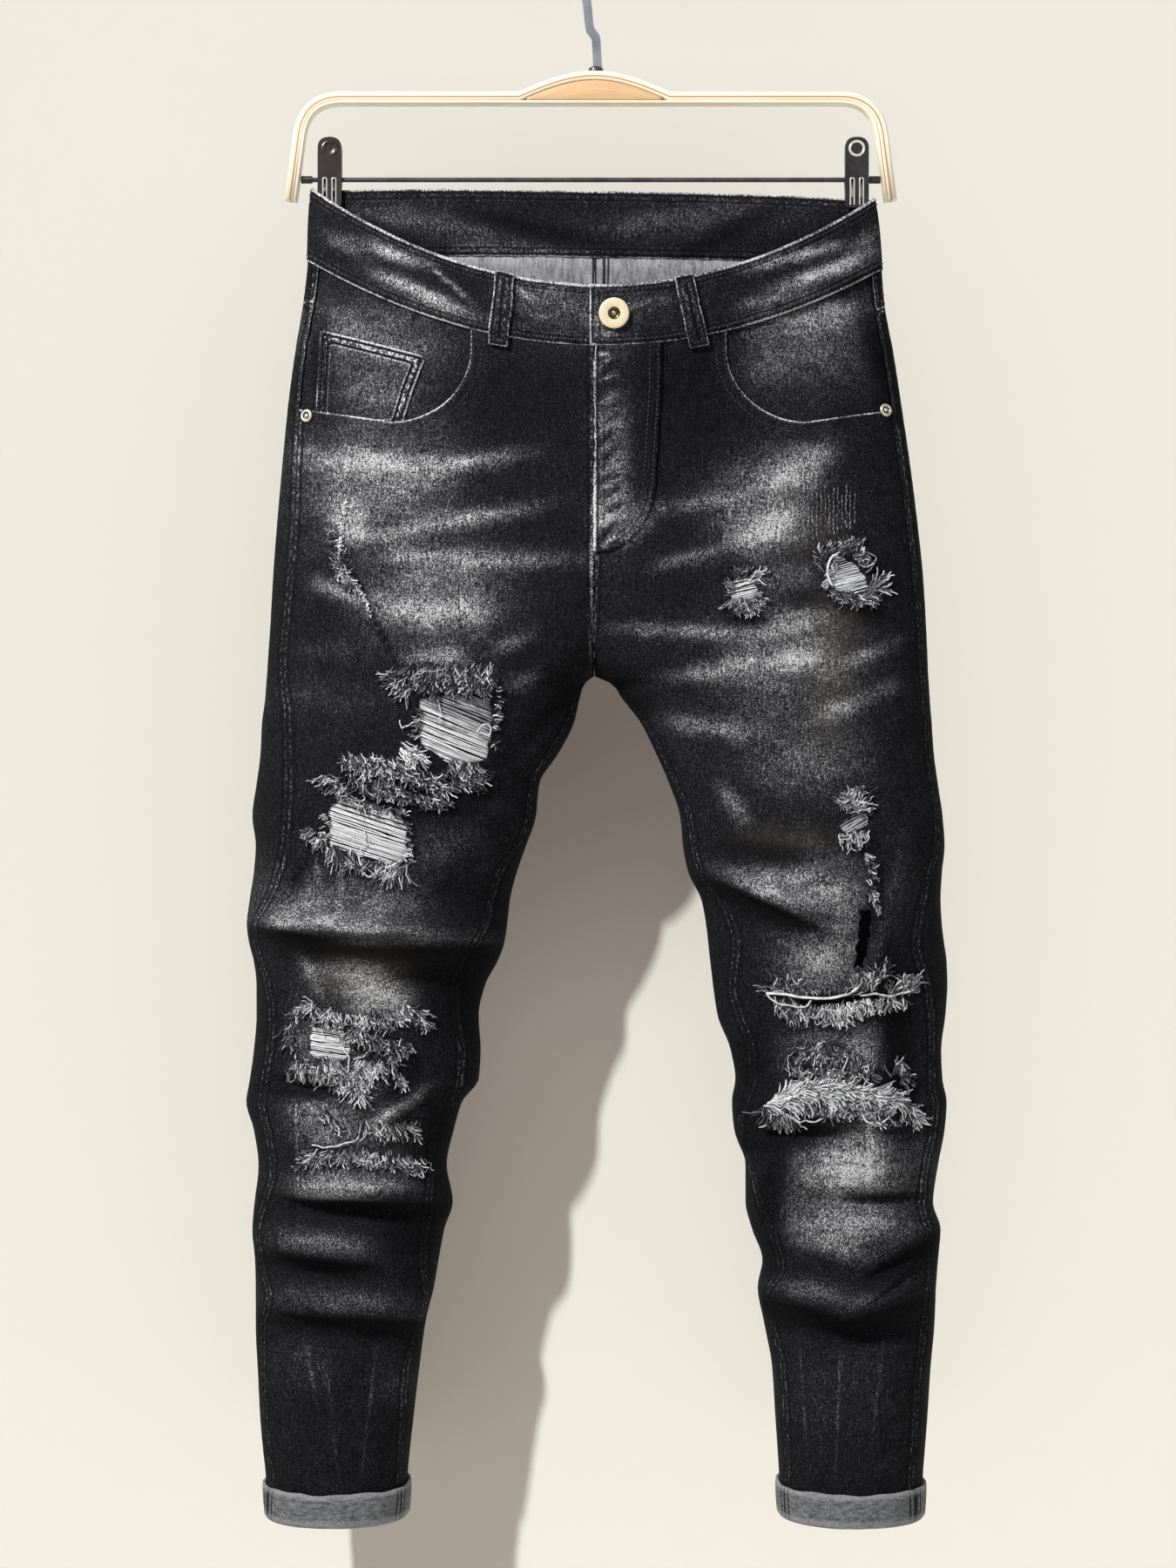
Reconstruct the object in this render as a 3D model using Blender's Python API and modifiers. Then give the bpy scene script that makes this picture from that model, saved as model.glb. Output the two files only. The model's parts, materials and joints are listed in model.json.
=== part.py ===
"""Ripped slim jeans hanging by their back waistband from a bentwood clip hanger.

Run with: blender --background --python part.py
Metres in the scene, millimetres in the tables. +Z is up, the front of the jeans faces -Y, and the
origin is the inner crown of the hook. "left" and "right" are as seen from the front.
"down" is the distance below the waistband's back rim.
"""

import math

import bmesh
import bpy
import numpy as np
from mathutils import Matrix, Vector

MM = 0.001

# Driving dimensions, in mm.
HOOK_TO_RIM = 207.0  # from the hook's inner crown down to the back rim of the waistband
MIDDLE = -12.0  # y of the side creases, where front and back meet
CENTRE = -3.0  # x of the centre-front and centre-back seams
BAND = 53.0  # how far down the lower edge of the waistband is at the sides
CROTCH = 355.0
HEM = 966.0
CUFF_TOP = 945.0
CLOTH = 1.4  # wall of one layer of denim
PATCH = 1.2  # wall of the facings, the coin pocket and the fly
BAND_OUT = 1.0  # the folded waistband stands this far proud of the panels
BAND_WALL = 3.0
GAP = 0.3  # between pieces at a seam
ROUNDNESS = 2.25  # superellipse exponent of a leg's section
TILT = 0.017  # the rim falls towards the right by this much of x
FRONT_CELLS = 10
BACK_CELLS = 11
FAR = 120.0  # y beyond the cloth, where cutters end

# One row for each section, x in mm: both silhouette edges and both seams of each leg.
LEG_COLUMNS = ("down", "outer", "side_seam", "inseam", "inner")
LEG_ROWS = {
    "left": (
        (0, -211, -204, CENTRE, CENTRE),
        (53, -213.5, -205, CENTRE, CENTRE),
        (81, -216.5, -208, CENTRE, CENTRE),
        (114, -222, -214, CENTRE, CENTRE),
        (154, -227.5, -218, CENTRE, CENTRE),
        (199, -232, -220, CENTRE, CENTRE),
        (244, -236, -221, CENTRE, CENTRE),
        (284, -239, -224, CENTRE, CENTRE),
        (319, -241, -227, CENTRE, CENTRE),
        (341, -242.5, -229, CENTRE, CENTRE),
        (355, -243.5, -229, CENTRE, CENTRE),
        (370, -244.5, -227, -15.5, -13.5),
        (389, -247, -225, -22, -18),
        (411, -248, -224.5, -35, -29),
        (434, -251, -224, -48.5, -43.5),
        (458, -254, -225, -51, -46),
        (479, -251.5, -227, -59, -53),
        (499, -253, -232, -72, -60),
        (519, -256, -240, -78, -65),
        (537, -258, -250, -82, -67),
        (550, -256.5, -249, -89, -69),
        (564, -253, -246, -97, -74),
        (581, -251, -240, -104, -83),
        (604, -251, -237, -103, -88),
        (629, -253, -239, -99, -86.5),
        (651, -256, -243, -101, -88),
        (667, -258.5, -244.5, -107, -100),
        (687, -253, -240, -119, -106),
        (714, -249.5, -236, -121, -111.5),
        (741, -252.5, -244, -123, -107),
        (760, -254, -248, -126, -113),
        (784, -252, -245, -127, -117.5),
        (804, -251.5, -239, -125.5, -121),
        (829, -251.5, -244, -131, -127),
        (862, -250, -243.5, -140, -131.5),
        (900, -248, -241.5, -142.5, -136),
        (945, -243.5, -236.5, -145.5, -140.5),
        (966, -242, -237, -147, -141.5),
    ),
    "right": (
        (0, 203, 196, CENTRE, CENTRE),
        (53, 208, 200, CENTRE, CENTRE),
        (81, 210.5, 203, CENTRE, CENTRE),
        (114, 216.5, 209, CENTRE, CENTRE),
        (154, 222.5, 215, CENTRE, CENTRE),
        (199, 229, 222, CENTRE, CENTRE),
        (244, 234.5, 227, CENTRE, CENTRE),
        (284, 238.5, 231, CENTRE, CENTRE),
        (319, 240.5, 234, CENTRE, CENTRE),
        (341, 241.5, 235, CENTRE, CENTRE),
        (355, 242, 236, CENTRE, CENTRE),
        (370, 243, 237, 18.5, 16.5),
        (389, 244.5, 238.5, 34, 31),
        (411, 246, 240, 46, 42),
        (434, 249, 243, 56.5, 52),
        (458, 252.5, 246, 66, 60),
        (479, 254, 246, 69, 62),
        (499, 252, 240, 74, 66),
        (519, 251, 234.5, 89, 75.5),
        (537, 252, 231, 97, 79),
        (550, 253.5, 229, 99.5, 80.5),
        (564, 255.5, 233, 98.5, 82),
        (581, 256, 238.5, 97, 84),
        (604, 254.5, 241.5, 103, 87.5),
        (629, 251.5, 242.5, 111, 97),
        (651, 252.5, 242.5, 111.5, 100.5),
        (667, 255.5, 245, 106, 98),
        (687, 254, 243, 103, 99.5),
        (714, 249, 237, 111, 108),
        (741, 245.5, 235, 118, 108),
        (760, 251, 240, 126, 112.5),
        (784, 249, 241, 132, 120.5),
        (804, 247.5, 239, 122, 117),
        (829, 246.5, 236, 127, 121.5),
        (862, 243.5, 231.5, 134, 127.5),
        (900, 241, 229, 136, 130),
        (945, 237.5, 226, 137.5, 133),
        (966, 236.5, 226, 138.5, 134),
    ),
}

# Depths of both halves, and how the drooping front of the waist turns into two legs.
# waist: share of the waist's own curve; front_mid, back_mid: depth left at the centre seams.
BODY_COLUMNS = ("down", "front", "back", "droop", "waist", "front_mid", "back_mid")
BODY_ROWS = (
    (0, 54, 14, 77, 1.00, 1.00, 1.00),
    (53, 52, 17, 67, 0.85, 1.00, 1.00),
    (114, 50, 27, 52, 0.60, 1.00, 0.95),
    (179, 48, 34, 36, 0.35, 0.98, 0.90),
    (259, 47, 40, 16, 0.12, 0.90, 0.80),
    (309, 47, 42, 5, 0.00, 0.75, 0.62),
    (334, 47, 43, 1, 0.00, 0.55, 0.44),
    (349, 47, 43, 0, 0.00, 0.27, 0.22),
    (355, 47, 43, 0, 0.00, 0.00, 0.00),
    (449, 48, 43, 0, 0.00, 0.00, 0.00),
    (549, 45, 40, 0, 0.00, 0.00, 0.00),
    (629, 41, 38, 0, 0.00, 0.00, 0.00),
    (729, 41, 38, 0, 0.00, 0.00, 0.00),
    (829, 43, 40, 0, 0.00, 0.00, 0.00),
    (966, 46, 44, 0, 0.00, 0.00, 0.00),
)

# The largest folds: middle of each, half its length and width, its fall for each mm of x, and
# how far it stands out (negative: a trough).
FOLD_COLUMNS = ("leg", "face", "x", "down", "reach", "fall", "width", "out")
FOLDS = (
    ("left", "front", -170, 541, 88, 0.07, 15, 12),
    ("left", "front", -165, 566, 85, 0.10, 11, -8),
    ("left", "front", -212, 650, 36, 0.10, 10, -6),
    ("left", "front", -150, 668, 34, 0.30, 13, 7),
    ("left", "front", -180, 722, 60, 0.05, 13, 5),
    ("left", "front", -178, 741, 60, 0.08, 10, -8),
    ("left", "front", -212, 785, 40, 0.15, 10, -6),
    ("left", "front", -188, 829, 58, 0.10, 11, -6),
    ("left", "back", -160, 540, 80, -0.10, 14, 9),
    ("left", "back", -165, 566, 80, 0.05, 12, -7),
    ("left", "back", -180, 655, 60, 0.15, 14, 6),
    ("left", "back", -180, 740, 60, -0.10, 12, -7),
    ("left", "back", -190, 820, 50, 0.12, 12, -5),
    ("right", "front", 112, 512, 46, 0.38, 15, 8),
    ("right", "front", 222, 620, 75, 8.0, 13, -7),
    ("right", "front", 150, 690, 45, 0.05, 12, -5),
    ("right", "front", 196, 738, 45, -0.05, 10, -7),
    ("right", "front", 218, 782, 36, -0.55, 11, -7),
    ("right", "front", 180, 806, 55, 0.05, 12, 6),
    ("right", "front", 180, 830, 55, 0.02, 11, -8),
    ("right", "back", 160, 528, 80, 0.10, 14, 9),
    ("right", "back", 170, 555, 75, -0.05, 12, -7),
    ("right", "back", 175, 660, 60, -0.15, 14, 6),
    ("right", "back", 180, 745, 60, 0.10, 12, -7),
    ("right", "back", 185, 815, 50, -0.10, 12, -5),
)

# Tears worn right through the fronts: middle, half width, half height, lean in degrees.
TEAR_COLUMNS = ("leg", "x", "down", "half_width", "half_height", "lean")
TEARS = (
    ("left", -106, 399, 27, 26, 12),
    ("left", -166, 471, 26, 20, -6),
    ("left", -176, 622, 34, 9, 4),
    ("right", 108, 291, 13, 9, 0),
    ("right", 181, 285, 13, 13, 0),
    ("right", 180, 601, 50, 10, 2),
    ("right", 178, 657, 50, 8, 0),
)

POCKET_MIDDLE = (149.0, 121.0)  # centre of the pocket opening's round corner, at either side
POCKET_RADII = (57.0, 52.0)
POCKET_SIDE = 147.0  # how far down the opening's edge runs off past the side seam
POCKET_FOOT = 244.0  # the facing and the coin pocket are cut from walls that end here
FACING_MARGIN = 14.0
COIN_POCKET = ((-203, 103), (-124.5, 126), (-134, 150), (-140.5, 169), (-160, 167), (-206, 160))
FLY = {"width": 48.0, "straight_to": 150.0, "corner": 44.0, "corner_down": 214.0, "foot": 268.0}
YOKE_SIDE, YOKE_FADE, YOKE_DIP = 81.0, 154.0, 35.0
BACK_POCKET = ((52, 146), (190, 138), (192, 262), (124, 292), (58, 268))
CUFF = {"thick": 2.4, "below": 2.0}
PATCH_FOOT = 319.0  # the fly and the back pockets are cut from walls that end here
LOOP = {"width": 14.0, "thick": 2.0, "foot": 63.0, "wall_foot": 114.0}
LOOPS = (  # name, leg, face, x at the top, x at the foot
    ("front_left", "left", "front", -66.5, -72.0),
    ("front_right", "right", "front", 60.5, 72.0),
    ("back_left", "left", "back", -120.0, -120.0),
    ("back_right", "right", "back", 114.0, 114.0),
    ("back_centre", "right", "back", 7.0, 7.0),
)

LAP_END = -8.0  # x of the waistband's upper end
LAP_UNDER = 30.0  # x of the end that lies beneath it
LAP_COLUMNS = (-12.0, -24.0)  # x of the band's columns next to the lap
BUTTON = {"x": 11.0, "down": 25.0, "radius": 11.0, "height": 4.2}
RIVET = {"radius": 4.8, "height": 1.8, "left": 162.5, "right": 155.0, "in": 6.5}

# Hanger, in mm, z measured from the origin.
FRAME = {
    "left": -227.0, "right": 215.7, "foot": -210.0, "top": -130.3, "thick": 9.0,
    "lean": 10.0, "corner": 28.0, "depth": 12.0,
}
ARCH = {"middle": -3.0, "half": 55.5, "rise": 15.3, "base": -137.0, "layer": 6.6}
ROD = {"z": -194.5, "radius": 1.8, "sleeve_radius": 2.8, "sleeve": 8.0}
CLIP = {
    "left": -198.4, "right": 190.7, "width": 17.6, "top": -163.6, "bottom": -216.0, "plate": 1.2,
    "grip": 3.0, "spring_z": -173.0, "spring_length": 12.0, "slot_top": -193.0, "slot_foot": -208.0,
    "slots": (2.0, 4.8),
}
HOOK = {"radius": 22.0, "width": 6.4, "thick": 3.2, "tip": -38.0, "steps": 26}
HOOK_STEM = ((-0.6, -111.2), (-1.8, -88.6), (-6.3, -84.4), (-8.4, -64.0))
HOOK_SWEEP = ((-8.4, -64.0), (-11.0, -46.0), (-25.2, -44.0), (-25.2, -22.0))
FERRULE = {"radius": 5.5, "top": -111.5}

COLOURS = {
    "denim": (0.020, 0.020, 0.022, 0.85, 0.0),
    "denim_worn": (0.060, 0.060, 0.064, 0.88, 0.0),
    "denim_reverse": (0.19, 0.20, 0.215, 0.90, 0.0),
    "brass": (0.55, 0.48, 0.36, 0.35, 1.0),
    "wood": (0.70, 0.55, 0.38, 0.50, 0.0),
    "wood_core": (0.62, 0.38, 0.22, 0.55, 0.0),
    "steel": (0.62, 0.62, 0.63, 0.22, 1.0),
    "black_steel": (0.03, 0.03, 0.032, 0.35, 1.0),
    "black_rubber": (0.012, 0.012, 0.012, 0.60, 0.0),
}


def clear_scene():
    for obj in list(bpy.data.objects):
        bpy.data.objects.remove(obj, do_unlink=True)


def collection(name):
    made = bpy.data.collections.new(name)
    bpy.context.scene.collection.children.link(made)
    return made


def material(name):
    """One Principled material, made the first time that it is asked for."""
    if name in bpy.data.materials:
        return bpy.data.materials[name]
    red, green, blue, roughness, metallic = COLOURS[name]
    made = bpy.data.materials.new(name)
    made.use_nodes = True
    shader = made.node_tree.nodes["Principled BSDF"]
    shader.inputs["Base Color"].default_value = (red, green, blue, 1.0)
    shader.inputs["Roughness"].default_value = roughness
    shader.inputs["Metallic"].default_value = metallic
    made.diffuse_color = (red, green, blue, 1.0)
    return made


def add_object(name, mesh, finish, group):
    obj = bpy.data.objects.new(name, mesh)
    group.objects.link(obj)
    if finish:
        mesh.materials.append(material(finish))
    return obj


# ---- The surface of the cloth ----


def smooth(at, values, wanted):
    """A curve through the rows that never overshoots them."""
    step = np.diff(at)
    rise = np.diff(values) / step
    slope = np.zeros(len(at))
    slope[0], slope[-1] = rise[0], rise[-1]
    same = rise[:-1] * rise[1:] > 0
    total = np.where(same, rise[:-1] + rise[1:], 1.0)
    slope[1:-1] = np.where(same, 2 * rise[:-1] * rise[1:] / total, 0.0)
    wanted = np.clip(wanted, at[0], at[-1])
    row = np.clip(np.searchsorted(at, wanted, side="right") - 1, 0, len(at) - 2)
    t = (wanted - at[row]) / step[row]
    start, end = values[row], values[row + 1]
    out, into = slope[row] * step[row], slope[row + 1] * step[row]
    return (
        start * (1 + 2 * t) * (1 - t) ** 2
        + out * t * (1 - t) ** 2
        + end * t**2 * (3 - 2 * t)
        + into * t**2 * (t - 1)
    )


def columns_of(rows, names):
    table = np.array(rows, float)
    return {name: table[:, i] for i, name in enumerate(names)}


LEGS = {leg: columns_of(rows, LEG_COLUMNS) for leg, rows in LEG_ROWS.items()}
BODY = columns_of(BODY_ROWS, BODY_COLUMNS)


def leg_value(leg, name, down):
    return smooth(LEGS[leg]["down"], LEGS[leg][name], down)


def body_value(name, down):
    return smooth(BODY["down"], BODY[name], down)


def signed_power(value, power):
    return np.sign(value) * np.abs(value) ** power


def fold_height(leg, in_front, x, down):
    """How far the folds stand out of the smooth surface."""
    total = np.zeros(np.shape(x))
    for row in FOLDS:
        fold = dict(zip(FOLD_COLUMNS, row))
        if fold["leg"] != leg:
            continue
        turn = math.atan(fold["fall"])
        across, below = x - fold["x"], down - fold["down"]
        length = across * math.cos(turn) + below * math.sin(turn)
        breadth = below * math.cos(turn) - across * math.sin(turn)
        height = fold["out"] * np.exp(
            -((breadth / fold["width"]) ** 2) - (length / fold["reach"]) ** 4
        )
        total += np.where(in_front == (fold["face"] == "front"), height, 0.0)
    return total


def surface(leg, angle, down):
    """Points of the outside of the cloth. Angle 0 is the side crease, pi the inner edge by way
    of the front, -pi by way of the back, and below -pi the front again."""
    outer, inner = leg_value(leg, "outer", down), leg_value(leg, "inner", down)
    in_front = (angle >= 0) | (angle < -math.pi - 1e-9)
    turn = signed_power(np.cos(angle), 2 / ROUNDNESS)
    x = outer + (inner - outer) * 0.5 * (1 - turn)
    bow = np.abs(np.sin(angle)) ** (2 / ROUNDNESS)
    mid = np.where(in_front, body_value("front_mid", down), body_value("back_mid", down))
    leg_bow = np.where(turn < 0, mid + (1 - mid) * bow, bow)
    from_centre = np.clip((x - CENTRE) / (outer - CENTRE), 0, 1)
    waist_bow = np.where(in_front, 1 - from_centre**2, (1 - from_centre**10) ** 0.1)
    waist = body_value("waist", down)
    depth = np.where(in_front, body_value("front", down), body_value("back", down))
    out = depth * (waist * waist_bow + (1 - waist) * leg_bow)
    out = out + fold_height(leg, in_front, x, down) * np.abs(np.sin(angle))
    droop = body_value("droop", down)
    fall = np.where(in_front, droop * (1 - from_centre**2), 0.0)
    lean = TILT * (x - CENTRE) * droop / BODY["droop"][0]
    return np.stack(
        [x, MIDDLE + np.where(in_front, -out, out), -HOOK_TO_RIM - down - fall - lean], axis=-1
    )


def outward(leg, angle, down):
    """Unit normals of the surface. At the centre seams they keep to the plane of the seam."""
    small, step = 0.02, 1.0
    above = down <= CROTCH
    ahead = np.where(above, np.minimum(angle + small, math.pi), angle + small)
    behind = np.where(above, np.maximum(angle - small, -math.pi), angle - small)
    around = surface(leg, ahead, down) - surface(leg, behind, down)
    along = surface(leg, angle, np.minimum(down + step, HEM)) - surface(
        leg, angle, np.maximum(down - step, 0)
    )
    normal = np.cross(around, along) * (-1 if leg == "left" else 1)
    centre = above & (np.abs(np.abs(angle) - math.pi) < 1e-6)
    normal[..., 0] = np.where(centre, 0.0, normal[..., 0])
    fork = centre & (np.abs(down - CROTCH) < 1e-6)
    normal = np.where(fork[..., None], (0.0, 0.0, -1.0), normal)
    return normal / np.linalg.norm(normal, axis=-1, keepdims=True)


def angle_at(leg, x, down):
    """The angle on the front face where the surface has this x."""
    outer, inner = leg_value(leg, "outer", down), leg_value(leg, "inner", down)
    turn = np.clip(1 - 2 * (x - outer) / (inner - outer), -1, 1)
    return np.arccos(signed_power(turn, ROUNDNESS / 2))


def front_angles(leg, down):
    start = angle_at(leg, leg_value(leg, "side_seam", down), down)
    end = angle_at(leg, leg_value(leg, "inseam", down), down)
    share = np.linspace(0, 1, FRONT_CELLS + 1)
    return start[:, None] + (end - start)[:, None] * share


def back_angles(leg, down):
    start = angle_at(leg, leg_value(leg, "side_seam", down), down)
    end = angle_at(leg, leg_value(leg, "inseam", down), down) - 2 * math.pi
    share = np.linspace(0, 1, BACK_CELLS + 1)
    return start[:, None] + (end - start)[:, None] * share


# ---- Solids made from the surface ----


def pulled_in(points, sides):
    """The grid with the named sides moved in by half a seam gap, and the moves made."""
    moved = points.copy()
    for side in sides:
        edge, inner = {
            "top": (np.s_[0], np.s_[1]),
            "bottom": (np.s_[-1], np.s_[-2]),
            "start": (np.s_[:, 0], np.s_[:, 1]),
            "end": (np.s_[:, -1], np.s_[:, -2]),
        }[side]
        way = points[inner] - points[edge]
        moved[edge] += way / np.linalg.norm(way, axis=-1, keepdims=True) * GAP / 2
    return moved - points


def wall(name, points, normals, out, thick, finish, group, ring=False, sides=()):
    """A closed wall on a grid of surface points: its outer face stands out by out, and its
    inner face lies thick beneath it. Out and thick are numbers or one value for each column."""
    shift = pulled_in(points, sides)
    out, thick = (np.broadcast_to(value, points.shape[1])[None, :, None] for value in (out, thick))
    faces_out = points + normals * out + shift
    faces_in = points + normals * (out - thick) + shift
    rows, cols = points.shape[:2]
    mesh = bmesh.new()
    outer = [[mesh.verts.new(Vector(p) * MM) for p in row] for row in faces_out]
    inner = [[mesh.verts.new(Vector(p) * MM) for p in row] for row in faces_in]
    steps = [(j, (j + 1) % cols) for j in range(cols if ring else cols - 1)]

    def quad(a, b, c, d):
        mesh.faces.new((a, b, c))
        mesh.faces.new((a, c, d))

    for i in range(rows - 1):
        for j, k in steps:
            quad(outer[i][j], outer[i][k], outer[i + 1][k], outer[i + 1][j])
            quad(inner[i][j], inner[i][k], inner[i + 1][k], inner[i + 1][j])
    for i in (0, rows - 1):
        for j, k in steps:
            quad(outer[i][j], outer[i][k], inner[i][k], inner[i][j])
    if not ring:
        for j in (0, cols - 1):
            for i in range(rows - 1):
                quad(outer[i][j], outer[i + 1][j], inner[i + 1][j], inner[i][j])
    bmesh.ops.recalc_face_normals(mesh, faces=mesh.faces)
    made = bpy.data.meshes.new(name)
    mesh.to_mesh(made)
    mesh.free()
    return add_object(name, made, finish, group)


def on_surface(leg, angles, downs):
    """Surface points and normals of a grid. Downs is one value a row, or a whole grid."""
    grid = np.broadcast_to(downs if np.ndim(downs) == 2 else downs[:, None], angles.shape)
    return surface(leg, angles, grid), outward(leg, angles, grid)


def prism(name, outline, front, back, group):
    """A cutter: an outline of (x, z) points in mm, drawn out from y front to y back."""
    mesh = bmesh.new()
    face = mesh.faces.new([mesh.verts.new(Vector((x, front, z)) * MM) for x, z in outline])
    drawn = bmesh.ops.extrude_face_region(mesh, geom=[face])["geom"]
    corners = [item for item in drawn if isinstance(item, bmesh.types.BMVert)]
    bmesh.ops.translate(mesh, verts=corners, vec=Vector((0, back - front, 0)) * MM)
    bmesh.ops.recalc_face_normals(mesh, faces=mesh.faces)
    made = bpy.data.meshes.new(name)
    mesh.to_mesh(made)
    mesh.free()
    obj = add_object(name, made, None, group)
    obj.hide_render = True
    obj.display_type = "WIRE"
    return obj


def cut(obj, cutter, operation):
    step = obj.modifiers.new(cutter.name, "BOOLEAN")
    step.operation = operation
    step.object = cutter


def fallen(x, down):
    """z of a point of the front at x, this far down its own cloth."""
    leg = "left" if x < CENTRE else "right"
    outer = leg_value(leg, "outer", down)
    share = np.clip((x - CENTRE) / (outer - CENTRE), 0, 1)
    return float(-HOOK_TO_RIM - down - body_value("droop", down) * (1 - share**2))


def level(down):
    return -HOOK_TO_RIM - down


def arc(middle, radii, start, end, steps):
    turns = np.radians(np.linspace(start, end, steps + 1))
    return [(middle[0] + radii[0] * math.cos(t), middle[1] + radii[1] * math.sin(t)) for t in turns]


# ---- The jeans ----


def rows_from(first, last):
    """The section rows between two levels, with both levels themselves."""
    inside = [down for down in LEGS["left"]["down"] if first < down < last]
    return np.array([first, *inside, last], float)


def front_panel(leg, group, cutters):
    downs = rows_from(BAND, HEM)
    points, normals = on_surface(leg, front_angles(leg, downs), downs)
    sides = ("top", "start", "end")
    panel = wall(f"front_{leg}", points, normals, 0.0, CLOTH, "denim", group, sides=sides)
    cut(panel, pocket_prism(leg, 0.0, cutters), "DIFFERENCE")
    for number, row in enumerate(TEARS):
        tear = dict(zip(TEAR_COLUMNS, row))
        if tear["leg"] == leg:
            cut(panel, tear_prism(f"tear_{number + 1}", tear, cutters), "DIFFERENCE")


def tear_prism(name, tear, cutters):
    """A lens with blunt ends, leaning as the tear does."""
    lean = math.radians(tear["lean"])
    outline = []
    for turn in np.radians(np.arange(0, 360, 30) + 15):
        across = tear["half_width"] * signed_power(math.cos(turn), 0.7)
        up = tear["half_height"] * signed_power(math.sin(turn), 0.7)
        outline.append(
            (
                tear["x"] + across * math.cos(lean) + up * math.sin(lean),
                level(tear["down"]) + up * math.cos(lean) - across * math.sin(lean),
            )
        )
    return prism(name, outline, -FAR, MIDDLE - 2 * CLOTH, cutters)


def pocket_prism(leg, wider, cutters):
    """The curved pocket opening of the front, or a shape wider than it by this much."""
    side = -1 if leg == "left" else 1
    middle, corner_down = POCKET_MIDDLE
    radii = [radius + wider for radius in POCKET_RADII]
    curve = arc((middle, level(corner_down)), radii, 180, 270, 6)
    past_side = middle * 2
    outline = [(curve[0][0], level(0)), *curve, (past_side, level(POCKET_SIDE + wider))]
    outline.append((past_side, level(0)))
    name = f"opening_{leg}" if wider == 0 else f"facing_outline_{leg}"
    return prism(name, [(side * x, z) for x, z in outline], -FAR, MIDDLE - CLOTH, cutters)


def pocket_facing(leg, group, cutters):
    downs = rows_from(BAND, POCKET_FOOT)
    points, normals = on_surface(leg, front_angles(leg, downs), downs)
    below, name = -(CLOTH + GAP), f"pocket_facing_{leg}"
    facing = wall(name, points, normals, below, PATCH, "denim", group, sides=("top", "start"))
    cut(facing, pocket_prism(leg, FACING_MARGIN, cutters), "INTERSECT")


def coin_pocket(group, cutters):
    downs = rows_from(BAND, POCKET_FOOT)
    points, normals = on_surface("left", front_angles("left", downs), downs)
    out = PATCH - CLOTH + GAP / 4
    patch = wall("coin_pocket", points, normals, out, PATCH, "denim_worn", group, sides=("start",))
    outline = [(x, level(down)) for x, down in COIN_POCKET]
    cut(patch, prism("coin_outline", outline, -FAR, MIDDLE - CLOTH, cutters), "INTERSECT")


def fly(group, cutters):
    """The doubled flap on the right front, with its curved lower corner."""
    downs = rows_from(BAND, PATCH_FOOT)
    points, normals = on_surface("right", front_angles("right", downs), downs)
    sides = ("top", "end")
    flap = wall("fly", points, normals, GAP + PATCH, PATCH, "denim_worn", group, sides=sides)
    foot = FLY["foot"] - FLY["corner_down"]
    curve = arc((CENTRE, level(FLY["corner_down"])), (FLY["corner"], foot), 0, -78, 6)
    near, far = CENTRE - FLY["width"], CENTRE + FLY["width"]
    outline = [(near, level(BAND)), (far, level(BAND)), (far, level(FLY["straight_to"]))]
    outline += [*curve, (near, level(FLY["foot"]))]
    cut(flap, prism("fly_outline", outline, -FAR, MIDDLE - CLOTH, cutters), "INTERSECT")


def back_grid(leg, downs):
    """Angles and levels of the back's grid. Its first rows dip to the centre as the yoke's seam
    does, and the dip fades out further down."""
    angles = back_angles(leg, downs)
    dip = np.interp(downs, (BAND, YOKE_SIDE, YOKE_FADE), (0, YOKE_DIP, 0))
    share = np.clip(-angles / math.pi, 0, 1)
    return angles, downs[:, None] + dip[:, None] * share


def back_panels(leg, group):
    angles, downs = back_grid(leg, rows_from(YOKE_SIDE, HEM))
    points, normals = on_surface(leg, angles, downs)
    sides = ("top", "start", "end")
    wall(f"back_{leg}", points, normals, 0.0, CLOTH, "denim", group, sides=sides)
    angles, downs = back_grid(leg, rows_from(BAND, YOKE_SIDE))
    points, normals = on_surface(leg, angles, downs)
    sides = ("top", "bottom", "start", "end")
    wall(f"yoke_{leg}", points, normals, 0.0, CLOTH, "denim", group, sides=sides)


def back_pocket(leg, group, cutters):
    angles, downs = back_grid(leg, rows_from(YOKE_SIDE, PATCH_FOOT))
    points, normals = on_surface(leg, angles, downs)
    patch = wall(f"back_pocket_{leg}", points, normals, GAP + CLOTH, CLOTH, "denim", group)
    side = -1 if leg == "left" else 1
    outline = [(side * x, level(down)) for x, down in BACK_POCKET]
    cut(patch, prism(f"back_pocket_outline_{leg}", outline, MIDDLE, FAR, cutters), "INTERSECT")


def cuff(leg, group):
    """The hem turned up to show the cloth's pale reverse: a ring round the end of the leg."""
    downs = np.array([CUFF_TOP, HEM])
    front, back = front_angles(leg, downs), back_angles(leg, downs)
    around = np.concatenate([front[:, :-1], back[:, :0:-1]], 1)
    points, normals = on_surface(leg, around, downs)
    points[-1, :, 2] -= CUFF["below"]
    out, thick = 2 * GAP + CUFF["thick"], CUFF["thick"]
    wall(f"cuff_{leg}", points, normals, out, thick, "denim_reverse", group, ring=True)


def at_x(leg, x, downs):
    return angle_at(leg, np.full(len(downs), float(x)), downs)[:, None]


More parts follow.
